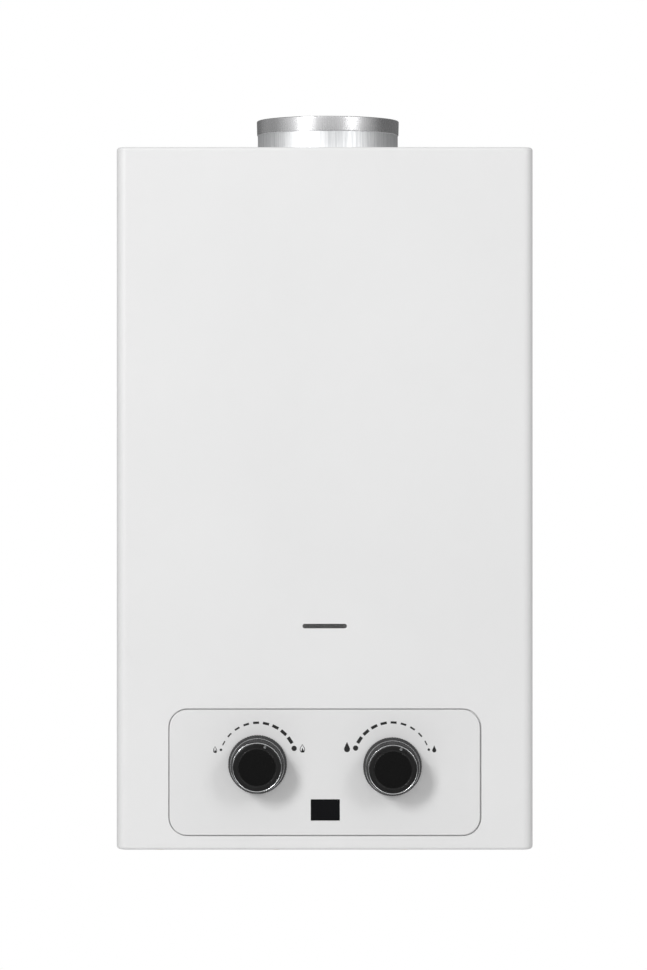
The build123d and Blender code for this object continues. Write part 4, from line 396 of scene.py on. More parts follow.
def area_light(name, place, target, width, height, power):
    """A soft box; power in watts."""
    data = bpy.data.lights.new(name, "AREA")
    data.shape = "RECTANGLE"
    data.size = width
    data.size_y = height
    data.energy = power
    obj = link(bpy.data.objects.new(name, data))
    obj.location = place
    direction = Vector(target) - Vector(place)
    obj.rotation_euler = direction.to_track_quat("-Z", "Y").to_euler()


area_light("key", (-1.81, -2.83, 1.55), (0, -0.16, -0.05), 0.8, 1.09, 59.5)
area_light("fill", (1.5, -1.9, 0.95), (0, -0.16, -0.05), 0.7, 0.9, 11.0)
area_light("strip", (-1.55, -2.05, 0.36), (0, -0.08, 0.2), 0.34, 1.0, 5.5)


# Materials
def new_material(name):
    made = bpy.data.materials.new("finish_" + name)
    made.use_nodes = True
    tree = made.node_tree
    tree.nodes.clear()
    out = tree.nodes.new("ShaderNodeOutputMaterial")
    shader = tree.nodes.new("ShaderNodeBsdfPrincipled")
    tree.links.new(shader.outputs[0], out.inputs["Surface"])
    return made, tree, shader


class Build:
    """Short calls for building a material's nodes."""

    def __init__(self, name):
        self.material, self.tree, self.shader = new_material(name)
        self.coord = self.tree.nodes.new("ShaderNodeTexCoord").outputs["Object"]

    def add(self, kind, **values):
        node = self.tree.nodes.new(kind)
        for key, value in values.items():
            setattr(node, key, value)
        return node

    def link(self, source, target):
        self.tree.links.new(source, target)

    def stretched(self, scale):
        """Object position with each axis scaled."""
        node = self.add("ShaderNodeMapping")
        node.inputs["Scale"].default_value = scale
        self.link(self.coord, node.inputs["Vector"])
        return node.outputs[0]

    def noise(self, scale, detail=3.0, rough=0.55, vector=None):
        node = self.add("ShaderNodeTexNoise")
        node.inputs["Scale"].default_value = scale
        node.inputs["Detail"].default_value = detail
        node.inputs["Roughness"].default_value = rough
        self.link(vector or self.coord, node.inputs["Vector"])
        return node.outputs["Fac"]

    def spread(self, source, low, high, to_low, to_high):
        node = self.add("ShaderNodeMapRange")
        self.link(source, node.inputs["Value"])
        node.inputs["From Min"].default_value = low
        node.inputs["From Max"].default_value = high
        node.inputs["To Min"].default_value = to_low
        node.inputs["To Max"].default_value = to_high
        return node.outputs["Result"]

    def ramp(self, source, *stops):
        """Colour ramp from (place, colour) stops."""
        node = self.add("ShaderNodeValToRGB")
        self.link(source, node.inputs[0])
        elements = node.color_ramp.elements
        while len(elements) < len(stops):
            elements.new(0.5)
        for element, (place, colour) in zip(elements, stops):
            element.position = place
            element.color = (*colour, 1)
        return node.outputs[0]

    def mix(self, factor, first, second):
        """Colour mix; factor is a socket or a number."""
        node = self.add("ShaderNodeMix", data_type="RGBA")
        for index, value in ((0, factor), (6, first), (7, second)):
            if isinstance(value, (int, float)):
                node.inputs[index].default_value = value
            elif isinstance(value, tuple):
                node.inputs[index].default_value = (*value, 1)
            else:
                self.link(value, node.inputs[index])
        return node.outputs[2]

    def bump(self, height, strength, distance):
        node = self.add("ShaderNodeBump")
        node.inputs["Strength"].default_value = strength
        node.inputs["Distance"].default_value = distance
        self.link(height, node.inputs["Height"])
        return node.outputs[0]

    def colour(self, value):
        if isinstance(value, tuple):
            self.shader.inputs["Base Color"].default_value = (*value, 1)
        else:
            self.link(value, self.shader.inputs["Base Color"])

    def rough(self, value):
        if isinstance(value, (int, float)):
            self.shader.inputs["Roughness"].default_value = value
        else:
            self.link(value, self.shader.inputs["Roughness"])

    def normal(self, value):
        self.link(value, self.shader.inputs["Normal"])


def tinted(colour, factor):
    return tuple(min(1.0, c * factor) for c in colour)


def coated(name, colour, rough, peel_scale=900, peel=0.05, mottle=0.012):
    """Painted or powder-coated sheet with a fine orange peel."""
    b = Build(name)
    cloud = b.noise(7.0, 4.0)
    fine = b.noise(peel_scale, 2.0)
    patches = b.spread(cloud, 0.3, 0.7, 0.0, 1.0)
    b.colour(b.mix(patches, tinted(colour, 1 - mottle), tinted(colour, 1 + mottle)))
    b.rough(b.spread(b.noise(60.0, 3.0), 0.3, 0.7, rough - 0.03, rough + 0.04))
    b.normal(b.bump(fine, peel, 0.0002))
    b.shader.inputs["IOR"].default_value = 1.5
    return b.material


def moulded(name, colour, rough, grain_scale=1800, grain=0.08, ior=1.49):
    """Moulded plastic or rubber with a fine tool texture."""
    b = Build(name)
    cloud = b.noise(30.0, 4.0)
    fine = b.noise(grain_scale, 2.0)
    b.colour(b.mix(b.spread(cloud, 0.3, 0.7, 0.0, 1.0), tinted(colour, 0.95), tinted(colour, 1.05)))
    b.rough(b.spread(b.noise(140.0, 3.0), 0.3, 0.7, rough - 0.04, rough + 0.05))
    b.normal(b.bump(fine, grain, 0.0001))
    b.shader.inputs["IOR"].default_value = ior
    return b.material


def metal(name, colour, rough, stretch=(1, 1, 1), streak_scale=300, streak=0.10, stain=0.06, relief=0.12):
    """Bare metal; stretch sets the way its drawn or brushed grain runs."""
    b = Build(name)
    grain = b.noise(streak_scale, 5.0, 0.65, b.stretched(stretch))
    cloud = b.noise(25.0, 4.0)
    shade = b.mix(b.spread(cloud, 0.3, 0.7, 0.0, 1.0), tinted(colour, 1 - stain), tinted(colour, 1 + stain))
    shade = b.mix(b.spread(grain, 0.35, 0.65, 0.0, 0.5), shade, tinted(colour, 1 - 1.4 * stain))
    b.colour(shade)
    b.shader.inputs["Metallic"].default_value = 1.0
    b.rough(b.spread(grain, 0.3, 0.7, rough - streak * 0.6, rough + streak))
    b.normal(b.bump(grain, relief, 0.0001))
    return b.material


def collar_sheet(name):
    """Galvanised sheet, matt and pale below and polished by handling along the top rim."""
    b = Build(name)
    streaks = b.noise(900.0, 5.0, 0.7, b.stretched((1, 1, 0.02)))
    cloud = b.noise(25.0, 4.0)
    split = b.add("ShaderNodeSeparateXYZ")
    b.link(b.coord, split.inputs[0])
    rim = b.spread(split.outputs["Z"], 0.2772, 0.2777, 0.0, 1.0)
    shade = b.mix(b.spread(cloud, 0.3, 0.7, 0.0, 1.0), (0.80, 0.81, 0.82), (0.88, 0.885, 0.89))
    shade = b.mix(b.spread(streaks, 0.42, 0.60, 0.0, 0.75), shade, (0.60, 0.61, 0.62))
    b.colour(b.mix(rim, shade, (0.80, 0.80, 0.81)))
    b.shader.inputs["Metallic"].default_value = 1.0
    matt = b.spread(streaks, 0.3, 0.7, 0.44, 0.54)
    bright = b.spread(streaks, 0.3, 0.7, 0.22, 0.30)
    level = b.add("ShaderNodeMix", data_type="FLOAT")
    b.link(rim, level.inputs[0])
    b.link(matt, level.inputs[2])
    b.link(bright, level.inputs[3])
    b.rough(level.outputs[0])
    b.normal(b.bump(streaks, 0.15, 0.0001))
    return b.material


def burnt_copper(name):
    b = Build(name)
    cloud = b.noise(18.0, 5.0)
    shade = b.ramp(
        cloud,
        (0.30, (0.62, 0.30, 0.20)),
        (0.48, (0.78, 0.42, 0.28)),
        (0.60, (0.84, 0.50, 0.36)),
        (0.75, (0.55, 0.27, 0.22)),
    )
    b.colour(shade)
    b.shader.inputs["Metallic"].default_value = 1.0
    b.rough(b.spread(b.noise(90.0, 3.0), 0.3, 0.7, 0.22, 0.40))
    b.normal(b.bump(b.noise(700.0, 2.0), 0.06, 0.0001))
    return b.material


def cast_metal(name, colour, rough):
    b = Build(name)
    sand = b.noise(900.0, 3.0)
    cloud = b.noise(40.0, 4.0)
    b.colour(b.mix(b.spread(cloud, 0.3, 0.7, 0.0, 1.0), tinted(colour, 0.88), tinted(colour, 1.08)))
    b.shader.inputs["Metallic"].default_value = 0.9
    b.rough(b.spread(sand, 0.3, 0.7, rough - 0.06, rough + 0.10))
    b.normal(b.bump(sand, 0.35, 0.0003))
    return b.material


def glass(name, tint, rough):
    b = Build(name)
    b.colour(tint)
    b.shader.inputs["Transmission Weight"].default_value = 1.0
    b.rough(b.spread(b.noise(50.0, 2.0), 0.3, 0.7, rough, rough + 0.03))
    return b.material


def circuit(name):
    b = Build(name)
    lines = b.add("ShaderNodeTexBrick")
    lines.inputs["Scale"].default_value = 260.0
    lines.inputs["Color1"].default_value = (0.02, 0.16, 0.07, 1)
    lines.inputs["Color2"].default_value = (0.03, 0.20, 0.09, 1)
    lines.inputs["Mortar"].default_value = (0.05, 0.27, 0.13, 1)
    b.link(b.coord, lines.inputs["Vector"])
    b.colour(lines.outputs["Color"])
    b.rough(b.spread(b.noise(200.0, 2.0), 0.3, 0.7, 0.30, 0.42))
    return b.material


def jacket(name):
    """Two-tone cell sleeve, banded along the cell."""
    b = Build(name)
    split = b.add("ShaderNodeSeparateXYZ")
    b.link(b.coord, split.inputs[0])
    band = b.spread(split.outputs["Y"], -0.0965, -0.0955, 0.0, 1.0)
    b.colour(b.mix(band, (0.02, 0.05, 0.10), (0.62, 0.50, 0.28)))
    b.rough(b.spread(b.noise(80.0, 2.0), 0.3, 0.7, 0.25, 0.35))
    return b.material


WHITE = 0.805
finish = {
    "white_enamel": coated("white_enamel", (WHITE, WHITE, WHITE), 0.42),
    "galvanised_sheet": collar_sheet("galvanised_sheet"),
    "zinc_screw": metal("zinc_screw", (0.72, 0.72, 0.70), 0.30, (1, 1, 1), 500, 0.08),
    "panel_plastic": coated("panel_plastic", (0.775, 0.775, 0.775), 0.42, 1400, 0.03, 0.006),
    "smoked_window": moulded("smoked_window", (0.006, 0.006, 0.007), 0.10, 900, 0.01),
    "circuit_board": circuit("circuit_board"),
    "dark_mesh": metal("dark_mesh", (0.16, 0.16, 0.16), 0.45, (1, 1, 1), 600, 0.08),
    "sight_glass": glass("sight_glass", (0.86, 0.89, 0.88), 0.02),
    "black_plastic": moulded("black_plastic", (0.042, 0.042, 0.043), 0.60, 2200, 0.10, 1.25),
    "gloss_black": moulded("gloss_black", (0.006, 0.006, 0.006), 0.09, 900, 0.01),
    "chrome_trim": metal("chrome_trim", (0.76, 0.77, 0.78), 0.22, (1, 1, 1), 400, 0.03, 0.02, 0.01),
    "brass_part": metal("brass_part", (0.80, 0.62, 0.32), 0.26, (1, 1, 1), 350, 0.06, 0.04, 0.04),
    "copper_sheet": burnt_copper("copper_sheet"),
    "burner_steel": metal("burner_steel", (0.50, 0.47, 0.43), 0.38, (1, 1, 0.05), 500, 0.10, 0.12),
    "ceramic_white": moulded("ceramic_white", (0.80, 0.78, 0.73), 0.22, 500, 0.03),
    "cast_aluminium": cast_metal("cast_aluminium", (0.58, 0.59, 0.60), 0.46),
    "black_rubber": moulded("black_rubber", (0.02, 0.02, 0.02), 0.62, 1200, 0.20),
    "solenoid_steel": metal("solenoid_steel", (0.60, 0.61, 0.62), 0.28, (0.05, 1, 1), 500, 0.08),
    "grey_plastic": moulded("grey_plastic", (0.46, 0.47, 0.47), 0.44, 1500, 0.10),
    "cell_jacket": jacket("cell_jacket"),
    "red_lead": moulded("red_lead", (0.45, 0.02, 0.02), 0.40, 900, 0.05),
}


def dress(obj, slot_name):
    obj.data.materials.clear()
    obj.data.materials.append(finish[slot_name])


# Every solid keeps its own finish, by the slot it was packed with
for node in nodes.values():
    packed = node.data.materials[0].name.split(".")[0]
    dress(node, packed)


# Front cover: one folded sheet with the panel opening, slot, flue notch and open bottom
def cover_row(z, inset):
    """Points round the two sides and the front at one height."""
    half = COVER_HALF_WIDTH - inset
    centre_x = COVER_HALF_WIDTH - SIDE_BEND
    centre_y = COVER_FRONT + SIDE_BEND
    bend = SIDE_BEND - inset
    points = [(-half, COVER_REAR, z), (-half, COVER_REAR - 60, z), (-half, centre_y + 30, z)]
    steps = 12
    for step in range(steps + 1):
        angle = radians(180 + 90 * step / steps)
        points.append((-centre_x + bend * cos(angle), centre_y + bend * sin(angle), z))
    for step in range(1, 8):
        share = step / 8
        points.append((-centre_x + 2 * centre_x * share, centre_y - bend, z))
    for step in range(steps + 1):
        angle = radians(270 + 90 * step / steps)
        points.append((centre_x + bend * cos(angle), centre_y + bend * sin(angle), z))
    points += [(half, centre_y + 30, z), (half, COVER_REAR - 60, z), (half, COVER_REAR, z)]
    return points


def make_cover():
    steps = 8
    rows = [
        (-COVER_HALF_HEIGHT + EDGE_BEND * (1 - cos(turn)), EDGE_BEND * (1 - sin(turn)))
        for turn in (radians(90 * step / steps) for step in range(steps + 1))
    ]
    levels = rows + [(z, 0.0) for z in (-200, -120, -40, 40, 120, 200)]
    levels += [(-z, inset) for z, inset in reversed(rows)]
    points = []
    for z, inset in levels:
        points += cover_row(z, inset)
    width = len(cover_row(0, 0))
    faces = []
    for row in range(len(levels) - 1):
        for column in range(width - 1):
            a = row * width + column
            faces.append((a, a + 1, a + width + 1, a + width))
    faces.append(tuple(reversed(range(width))))
    faces.append(tuple(range((len(levels) - 1) * width, len(levels) * width)))
    mesh = bpy.data.meshes.new("cover_shell")
    mesh.from_pydata([(x * MM, y * MM, z * MM) for x, y, z in points], [], faces)
    cover = link(bpy.data.objects.new("cover_shell", mesh))
    work = bmesh.new()
    work.from_mesh(mesh)
    bmesh.ops.recalc_face_normals(work, faces=work.faces)
    middle = min(work.faces, key=lambda f: f.calc_center_median().y)
    if middle.normal.y > 0:
        bmesh.ops.reverse_faces(work, faces=work.faces)
    work.to_mesh(mesh)
    work.free()
    wall = cover.modifiers.new("sheet", "SOLIDIFY")
    wall.thickness = COVER_SHEET * MM
    wall.offset = -1
    wall.use_even_offset = True
    apply_modifiers(cover)
    opening = rounded_outline(
        PANEL_HALF_WIDTH + PANEL_GAP, PANEL_HALF_HEIGHT + PANEL_GAP, PANEL_CORNER + PANEL_GAP, 16
    )
    shifted = (OPENING_SHIFT[0], PANEL_Z + OPENING_SHIFT[1])
    slot_outline = rounded_outline(SLOT_LENGTH / 2, SLOT_HEIGHT / 2, SLOT_HEIGHT / 2 - 0.001, 10)
    tools = [
        cutter(*prism_points(opening, COVER_FRONT - CUT_REACH, COVER_FRONT + CUT_REACH, shifted)),
        cutter(*prism_points(slot_outline, COVER_FRONT - CUT_REACH, COVER_FRONT + CUT_REACH, (0, SLOT_Z))),
    ]
    notch = []
    for step in range(65):
        angle = radians(180 + 180 * step / 64)
        notch.append((CORE_X + NOTCH_RADIUS * cos(angle), CORE_Y + NOTCH_RADIUS * sin(angle)))
    notch += [(CORE_X + NOTCH_RADIUS, PAST_REAR), (CORE_X - NOTCH_RADIUS, PAST_REAR)]
    points, faces = prism_points(notch, 0, 1)
    upright = [(x, y, COVER_HALF_HEIGHT + EDGE_REACH * (2 * level - 1)) for x, level, y in points]
    tools.append(cutter(upright, faces))
    floor_cut = [(-BOTTOM_HALF, BOTTOM_FRONT), (BOTTOM_HALF, BOTTOM_FRONT)]
    floor_cut += [(BOTTOM_HALF, PAST_REAR), (-BOTTOM_HALF, PAST_REAR)]
    points, faces = prism_points(floor_cut, 0, 1)
    upright = [(x, y, -COVER_HALF_HEIGHT + EDGE_REACH * (2 * level - 1)) for x, level, y in points]
    tools.append(cutter(upright, faces))
    for side in (-1, 1):
        for z in (-SCREW_Z, SCREW_Z):
            points, faces = prism_points(circle(SCREW_HOLE, 24), 0, 1)
            across = [
                (side * (COVER_HALF_WIDTH + CUT_REACH * (2 * l - 1)), SCREW_Y + u, z + v)
                for u, l, v in points
            ]
            tools.append(cutter(across, faces))
    cut(cover, tools)
    soften(cover, 0.22, 3, 40)
    weight_normals(cover)
    dress(cover, "white_enamel")
    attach(cover, "casing")
    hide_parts("front_cover")


make_cover()


# Control panel: inset plate with a rounded edge and a flange behind the cover
def make_panel():
    rows = []
    steps = 5
    for step in range(steps + 1):
        angle = radians(90 * step / steps)
        rows.append((PANEL_ROUND * (1 - sin(angle)), PANEL_FACE + PANEL_ROUND * (1 - cos(angle))))
    rows.append((0.0, PANEL_STEP + PANEL_GROOVE_DEPTH))
    levels = [(PANEL_HALF_WIDTH - i, PANEL_HALF_HEIGHT - i, PANEL_CORNER - i, y) for i, y in rows]
    flange = (PANEL_HALF_WIDTH + PANEL_SIDE_FLANGE, PANEL_HALF_HEIGHT + PANEL_TOP_FLANGE, PANEL_CORNER)
    well = (PANEL_HALF_WIDTH + PANEL_GROOVE, PANEL_HALF_HEIGHT + PANEL_GROOVE, PANEL_CORNER + PANEL_GROOVE)
    levels += [(*well, PANEL_STEP + PANEL_GROOVE_DEPTH), (*well, PANEL_STEP)]
    levels += [(*flange, PANEL_STEP), (*flange, PANEL_BACK)]
    corner_steps = 16
    points = []
    for half_width, half_height, radius, y in levels:
        outline = rounded_outline(half_width, half_height, radius, corner_steps)
        points += [(x, y, z + PANEL_Z) for x, z in outline]
    count = 4 * (corner_steps + 1)
    faces = [tuple(range(count)), tuple(reversed(range((len(levels) - 1) * count, len(levels) * count)))]
    for row in range(len(levels) - 1):
        for i in range(count):
            a = row * count + i
            b = row * count + (i + 1) % count
            faces.append((a, a + count, b + count, b))
    mesh = bpy.data.meshes.new("panel_plate")
    mesh.from_pydata([(x * MM, y * MM, z * MM) for x, y, z in points], [], faces)
    panel = link(bpy.data.objects.new("panel_plate", mesh))
    fix_normals(panel)
    before = PANEL_FACE - CUT_REACH
    behind = PANEL_BACK + CUT_REACH
    tools = []
    for centre in (GAS_KNOB, WATER_KNOB):
        tools.append(cutter(*prism_points(circle(STEM_HOLE, 48), before, behind, centre)))
    for x in (-STUD_X, STUD_X):
        for z in (PANEL_Z - STUD_HALF_SPREAD, PANEL_Z + STUD_HALF_SPREAD):
            tools.append(cutter(*prism_points(circle(STUD_HOLE, 24), before, behind, (x, z))))
    half_width = WINDOW_WIDTH / 2 + WINDOW_CLEARANCE
    half_height = WINDOW_HEIGHT / 2 + WINDOW_CLEARANCE
    window = rounded_outline(half_width, half_height, WINDOW_CORNER, 3)
    tools.append(cutter(*prism_points(window, before, behind, (WINDOW_X, WINDOW_Z))))
    cut(panel, tools)
    soften(panel, 0.12, 2, 50)
    weight_normals(panel)
    dress(panel, "panel_plastic")
    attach(panel, "casing")
    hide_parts("control_panel")
    bosses = []
    for x in (-BOSS_X, BOSS_X):
        tube = [(1.3, 0), (3.0, 0), (3.0, 6.7), (2.7, 7.0), (1.6, 7.0), (1.3, 6.7)]
        points, faces = lathe(tube, 32)
        bosses.append(([(x + px, PANEL_BACK + pz, WINDOW_Z + py) for px, py, pz in points], faces))
    boss = mesh_piece("panel_bosses", *joined(*bosses), "casing", "panel_plastic")
    sharpen(boss)
    dress(boss, "panel_plastic")


make_panel()


# Printed dial marks: dots and dashes that thicken towards the high end
def mark_prism(outline, x, z, turn=0.0):
    """A thin printed shape on the panel face, turned anticlockwise by turn degrees."""
    c, s = cos(radians(turn)), sin(radians(turn))
    placed = [(x + u * c - v * s, z + u * s + v * c) for u, v in outline]
    return prism_points(placed, PANEL_FACE - INK_RISE, PANEL_FACE + INK_SINK)


def drop_outline(width, height):
    """Round below, drawn up to a point."""
    radius = width / 2
    low = -height / 2 + radius
    outline = []
    for step in range(25):
        angle = radians(160 + 220 * step / 24)
        outline.append((radius * cos(angle), low + radius * sin(angle)))
    tip = height / 2
    shoulder = low + radius * 0.34
    flank = [(radius * 0.94 * (1 - share), shoulder + (tip - shoulder) * share) for share in (0.3, 0.6, 0.9)]
    return outline + flank + [(0.0, tip)] + [(-u, v) for u, v in reversed(flank)]


def flame_outline(width, height):
    """A plain flame: round below and drawn up to one side."""
    shape = [
        (0.00, -0.50), (0.22, -0.48), (0.38, -0.40), (0.48, -0.27), (0.50, -0.12), (0.46, 0.02),
        (0.38, 0.12), (0.28, 0.20), (0.20, 0.30), (0.10, 0.42), (-0.06, 0.50), (-0.10, 0.38),
        (-0.22, 0.27), (-0.36, 0.17), (-0.45, 0.04), (-0.50, -0.10), (-0.48, -0.25),
        (-0.38, -0.39), (-0.20, -0.48),
    ]
    return [(u * width, v * height) for u, v in shape]


def mark_band(outline, share, x, z):
    """A thin printed line that follows an outline, share being its inner side's size."""
    count = len(outline)
    inner = [(u * share[0], v * share[1]) for u, v in outline]
    points, faces = [], []
    for y in (PANEL_FACE - INK_RISE, PANEL_FACE + INK_SINK):
        points += [(x + u, y, z + v) for u, v in outline]
        points += [(x + u, y, z + v) for u, v in inner]
    for i in range(count):
        j = (i + 1) % count
        a, b, c, d = i, j, count + j, count + i
        under = 2 * count
        faces += [(a, b, c, d), (a + under, d + under, c + under, b + under)]
        faces += [(a, a + under, b + under, b), (d, c, c + under, d + under)]
    return points, faces


def flame(width, height, x, z):
    """A flame drawn as a line with a small solid flame inside at its foot."""
    line = 0.5
    share = (1 - 2 * line / width, 1 - 2.4 * line / height)
    heart = [(u * width * 0.74, (v + 0.5) * height * 0.56 - height * 0.5) for u, v in HEART]
    return [mark_band(flame_outline(width, height), share, x, z), mark_prism(heart, x + width * 0.03, z)]


HEART = [
    (0.0, -0.5), (0.34, -0.47), (0.50, -0.36), (0.46, -0.2), (0.26, 0.02), (0.10, 0.3), (-0.04, 0.5),
    (-0.16, 0.3), (-0.22, 0.0), (-0.32, -0.22), (-0.46, -0.34), (-0.34, -0.46),
]


def make_dial(name, centre, mirror, low_icon, high_icon):
    marks = []
    for index in range(DASH_COUNT):
        angle = DASH_START - DASH_STEP * index
        angle = 180.0 - angle if mirror else angle
        width = DASH_WIDTH + DASH_WIDTH_STEP * index
        length = DASH_LENGTH + DASH_LENGTH_STEP * index
        outline = rounded_outline(length / 2, width / 2, 0.12, 2)
        x = centre[0] + DIAL_RADIUS * cos(radians(angle))
        z = centre[1] + DIAL_RADIUS * sin(radians(angle))
        marks.append(mark_prism(outline, x, z, angle - 90))
    # The dots at the low and the high end, by angle and radius
    for angle, radius in ((162.7, 0.95), (19.6, 1.98)):
        angle = 180.0 - angle if mirror else angle
        x = centre[0] + DIAL_RADIUS * cos(radians(angle))
        z = centre[1] + DIAL_RADIUS * sin(radians(angle))
        marks.append(mark_prism(circle(radius), x, z))
    marks += low_icon + high_icon
    piece = mesh_piece(name, *joined(*marks), "casing", "black_plastic", smooth=False)
    piece.data.materials.clear()
    piece.data.materials.append(ink)


ink = moulded("printed_ink", (0.012, 0.012, 0.012), 0.42, 1500, 0.02)
make_dial(
    "gas_dial_print",
    (-50.05, -196.6),
    False,
    flame(2.9, 5.0, -82.0, -187.8),
    flame(3.9, 6.3, -16.7, -186.9),
)
make_dial(
    "water_dial_print",
    (50.3, -196.4),
    True,
    [mark_prism(drop_outline(3.0, 5.3), 81.95, -187.3)],
    [mark_prism(drop_outline(4.5, 7.7), 16.7, -185.9)],
)


# Knobs: ribbed body, chrome ring and glossy cap
satin_black = moulded("satin_black", (0.010, 0.010, 0.010), 0.30, 1500, 0.04, 1.42)
groove_black = moulded("groove_black", (0.016, 0.016, 0.016), 0.20, 1500, 0.02, 1.60)


def distance(centre, x, z):
    """How far a face's centre is from a point of the front, in millimetres."""
    return sqrt((centre.x / MM - x) ** 2 + (centre.z / MM - z) ** 2)


def make_knob(prefix, body, x, z):
    per_rib = 10
    segments = KNOB_TURN_RIBS * per_rib
    # radius, height above the base, how much of the rib shape shows
    profile = [
        (0.02, 12.0, 0), (4.2, 12.0, 0), (4.2, 0.3, 0), (4.5, 0.0, 0), (7.8, 0.0, 0), (8.0, 0.2, 0),
        (8.0, 14.0, 0), (16.7, 14.0, 0), (16.7, 0.3, 0), (17.0, 0.0, 0),
        (21.75, 0.0, 0.6), (21.98, 0.10, 0.9), (22.03, 0.35, 1), (21.7, 1.75, 1), (21.35, 3.25, 1),
        (21.0, 4.75, 1), (20.62, 6.2, 1), (20.46, 6.75, 0.4), (20.38, 6.96, 0), (20.24, 7.06, 0),
        (19.96, 7.34, 0), (19.90, 7.56, 0.4), (19.86, 7.8, 1), (19.66, 10.5, 1), (19.42, 13.4, 1),
        (19.22, 16.2, 1), (19.17, 17.0, 1), (19.08, 17.3, 0.7), (18.85, 17.4, 0.3),
        (16.0, 17.4, 0), (0.02, 17.4, 0),
    ]
    points = []
    for radius, height, share in profile:
        for turn in range(segments):
            angle = 2 * pi * turn / segments
            phase = (turn % per_rib) / per_rib
            across = (phase - 0.5) * 2 * pi * radius / KNOB_TURN_RIBS
            depth = 0.0
            if share and abs(across) < 0.6:
                depth = share * 0.36 * (1 + cos(pi * across / 0.6)) / 2
            r = radius - depth
            points.append((r * cos(angle), r * sin(angle), height))
    faces = []
    for row in range(len(profile) - 1):
        faces += ring_faces(row * segments, (row + 1) * segments, segments)
    knob = mesh_piece(prefix + "_grip", to_front(points, x, KNOB_BASE, z), faces, body, "black_plastic")
    sharpen(knob, 50)
    dress(knob, "black_plastic")
    knob.data.materials.append(finish["chrome_trim"])
    for face in knob.data.polygons:
        height = KNOB_BASE - face.center.y / MM
        away = distance(face.center, x, z)
        if away > 19.0 and 7.1 < height < 7.3:
            face.material_index = 1
    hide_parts(prefix + "_body")

    face_y = KNOB_BASE - KNOB_HEIGHT
    ring_profile = [(RING_OUTER, 0.0)]
    for step in range(9):
        angle = radians(90 * step / 8)
        ring_profile.append((RING_OUTER - RING_ROUND * (1 - cos(angle)), RING_WALL + RING_ROUND * sin(angle)))
    for step in range(9):
        angle = radians(90 * step / 8)
        ring_profile.append((RING_BORE + RING_ROUND * (1 - sin(angle)), RING_WALL + RING_ROUND * cos(angle)))
    ring_profile.append((RING_BORE, 0.0))
    points, faces = lathe(ring_profile, 192)
    ring = mesh_piece(prefix + "_trim", to_front(points, x, face_y, z), faces, body, "chrome_trim")
    sharpen(ring, 50)
    weight_normals(ring)
    dress(ring, "chrome_trim")
    ring.data.materials.append(finish["black_plastic"])
    # The ring's outer side takes black plastic, partly as the black grip and partly painted shade for the
    # dark band beside the bright chrome line
    for face in ring.data.polygons:
        away = distance(face.center, x, z)
        if away > RING_GRIP_AND_SHADE_RADIUS:
            face.material_index = 1
    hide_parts(prefix + "_ring")

    cap_profile = [(0.02, 0.0), (CAP_RADIUS, 0.0), (CAP_RADIUS, CAP_WALL)]
    for step in range(1, 7):
        angle = radians(90 * step / 6)
        cap_profile.append((CAP_RADIUS - CAP_ROUND * (1 - cos(angle)), CAP_WALL + CAP_ROUND * sin(angle)))
    cap_profile += [(14.52, 2.2), (14.42, 2.16), (14.32, 2.0), (14.25, 1.9), (14.05, 1.9), (13.98, 2.0)]
    cap_profile += [(13.88, 2.16), (13.78, 2.2), (9.0, 2.2), (0.02, 2.2)]
    points, faces = lathe(cap_profile, 192)
    cap = mesh_piece(prefix + "_face", to_front(points, x, face_y, z), faces, body, "gloss_black")
    notch = rounded_outline(0.9, 1.1, 0.8, 6)
    points, faces = prism_points(notch, face_y - 5, face_y - 1.65)
    turn = radians(POINTER_TURN)
    px, pz = x - POINTER_RADIUS * sin(turn), z + POINTER_RADIUS * cos(turn)
    turned = [
        (px + u * cos(turn) - v * sin(turn), y, pz + u * sin(turn) + v * cos(turn)) for u, y, v in points
    ]
    cut(cap, [cutter(turned, faces)])
    sharpen(cap, 50)
    weight_normals(cap)
    dress(cap, "gloss_black")
    cap.data.materials.append(groove_black)
    cap.data.materials.append(satin_black)
    cap.data.materials.append(finish["chrome_trim"])
    # 1 the round groove, 2 the edge outside it, 3 the floor of the pointer notch
    for face in cap.data.polygons:
        centre = face.center
        away = distance(centre, x, z)
        if 13.8 < away < 14.5 and centre.y / MM < face_y - 1.5:
            face.material_index = 1
        if away > 14.55 and centre.y / MM < face_y - 1.5:
            face.material_index = 2
        aside = distance(centre, px, pz)
        if aside < 1.3 and away < 17.1 and face_y - 2.15 < centre.y / MM < face_y - 1.6:
            face.material_index = 3
    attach(cap, body)
    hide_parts(prefix + "_cap")


make_knob("gas_knob", "gas_knob", *GAS_KNOB)
make_knob("water_knob", "water_knob", *WATER_KNOB)


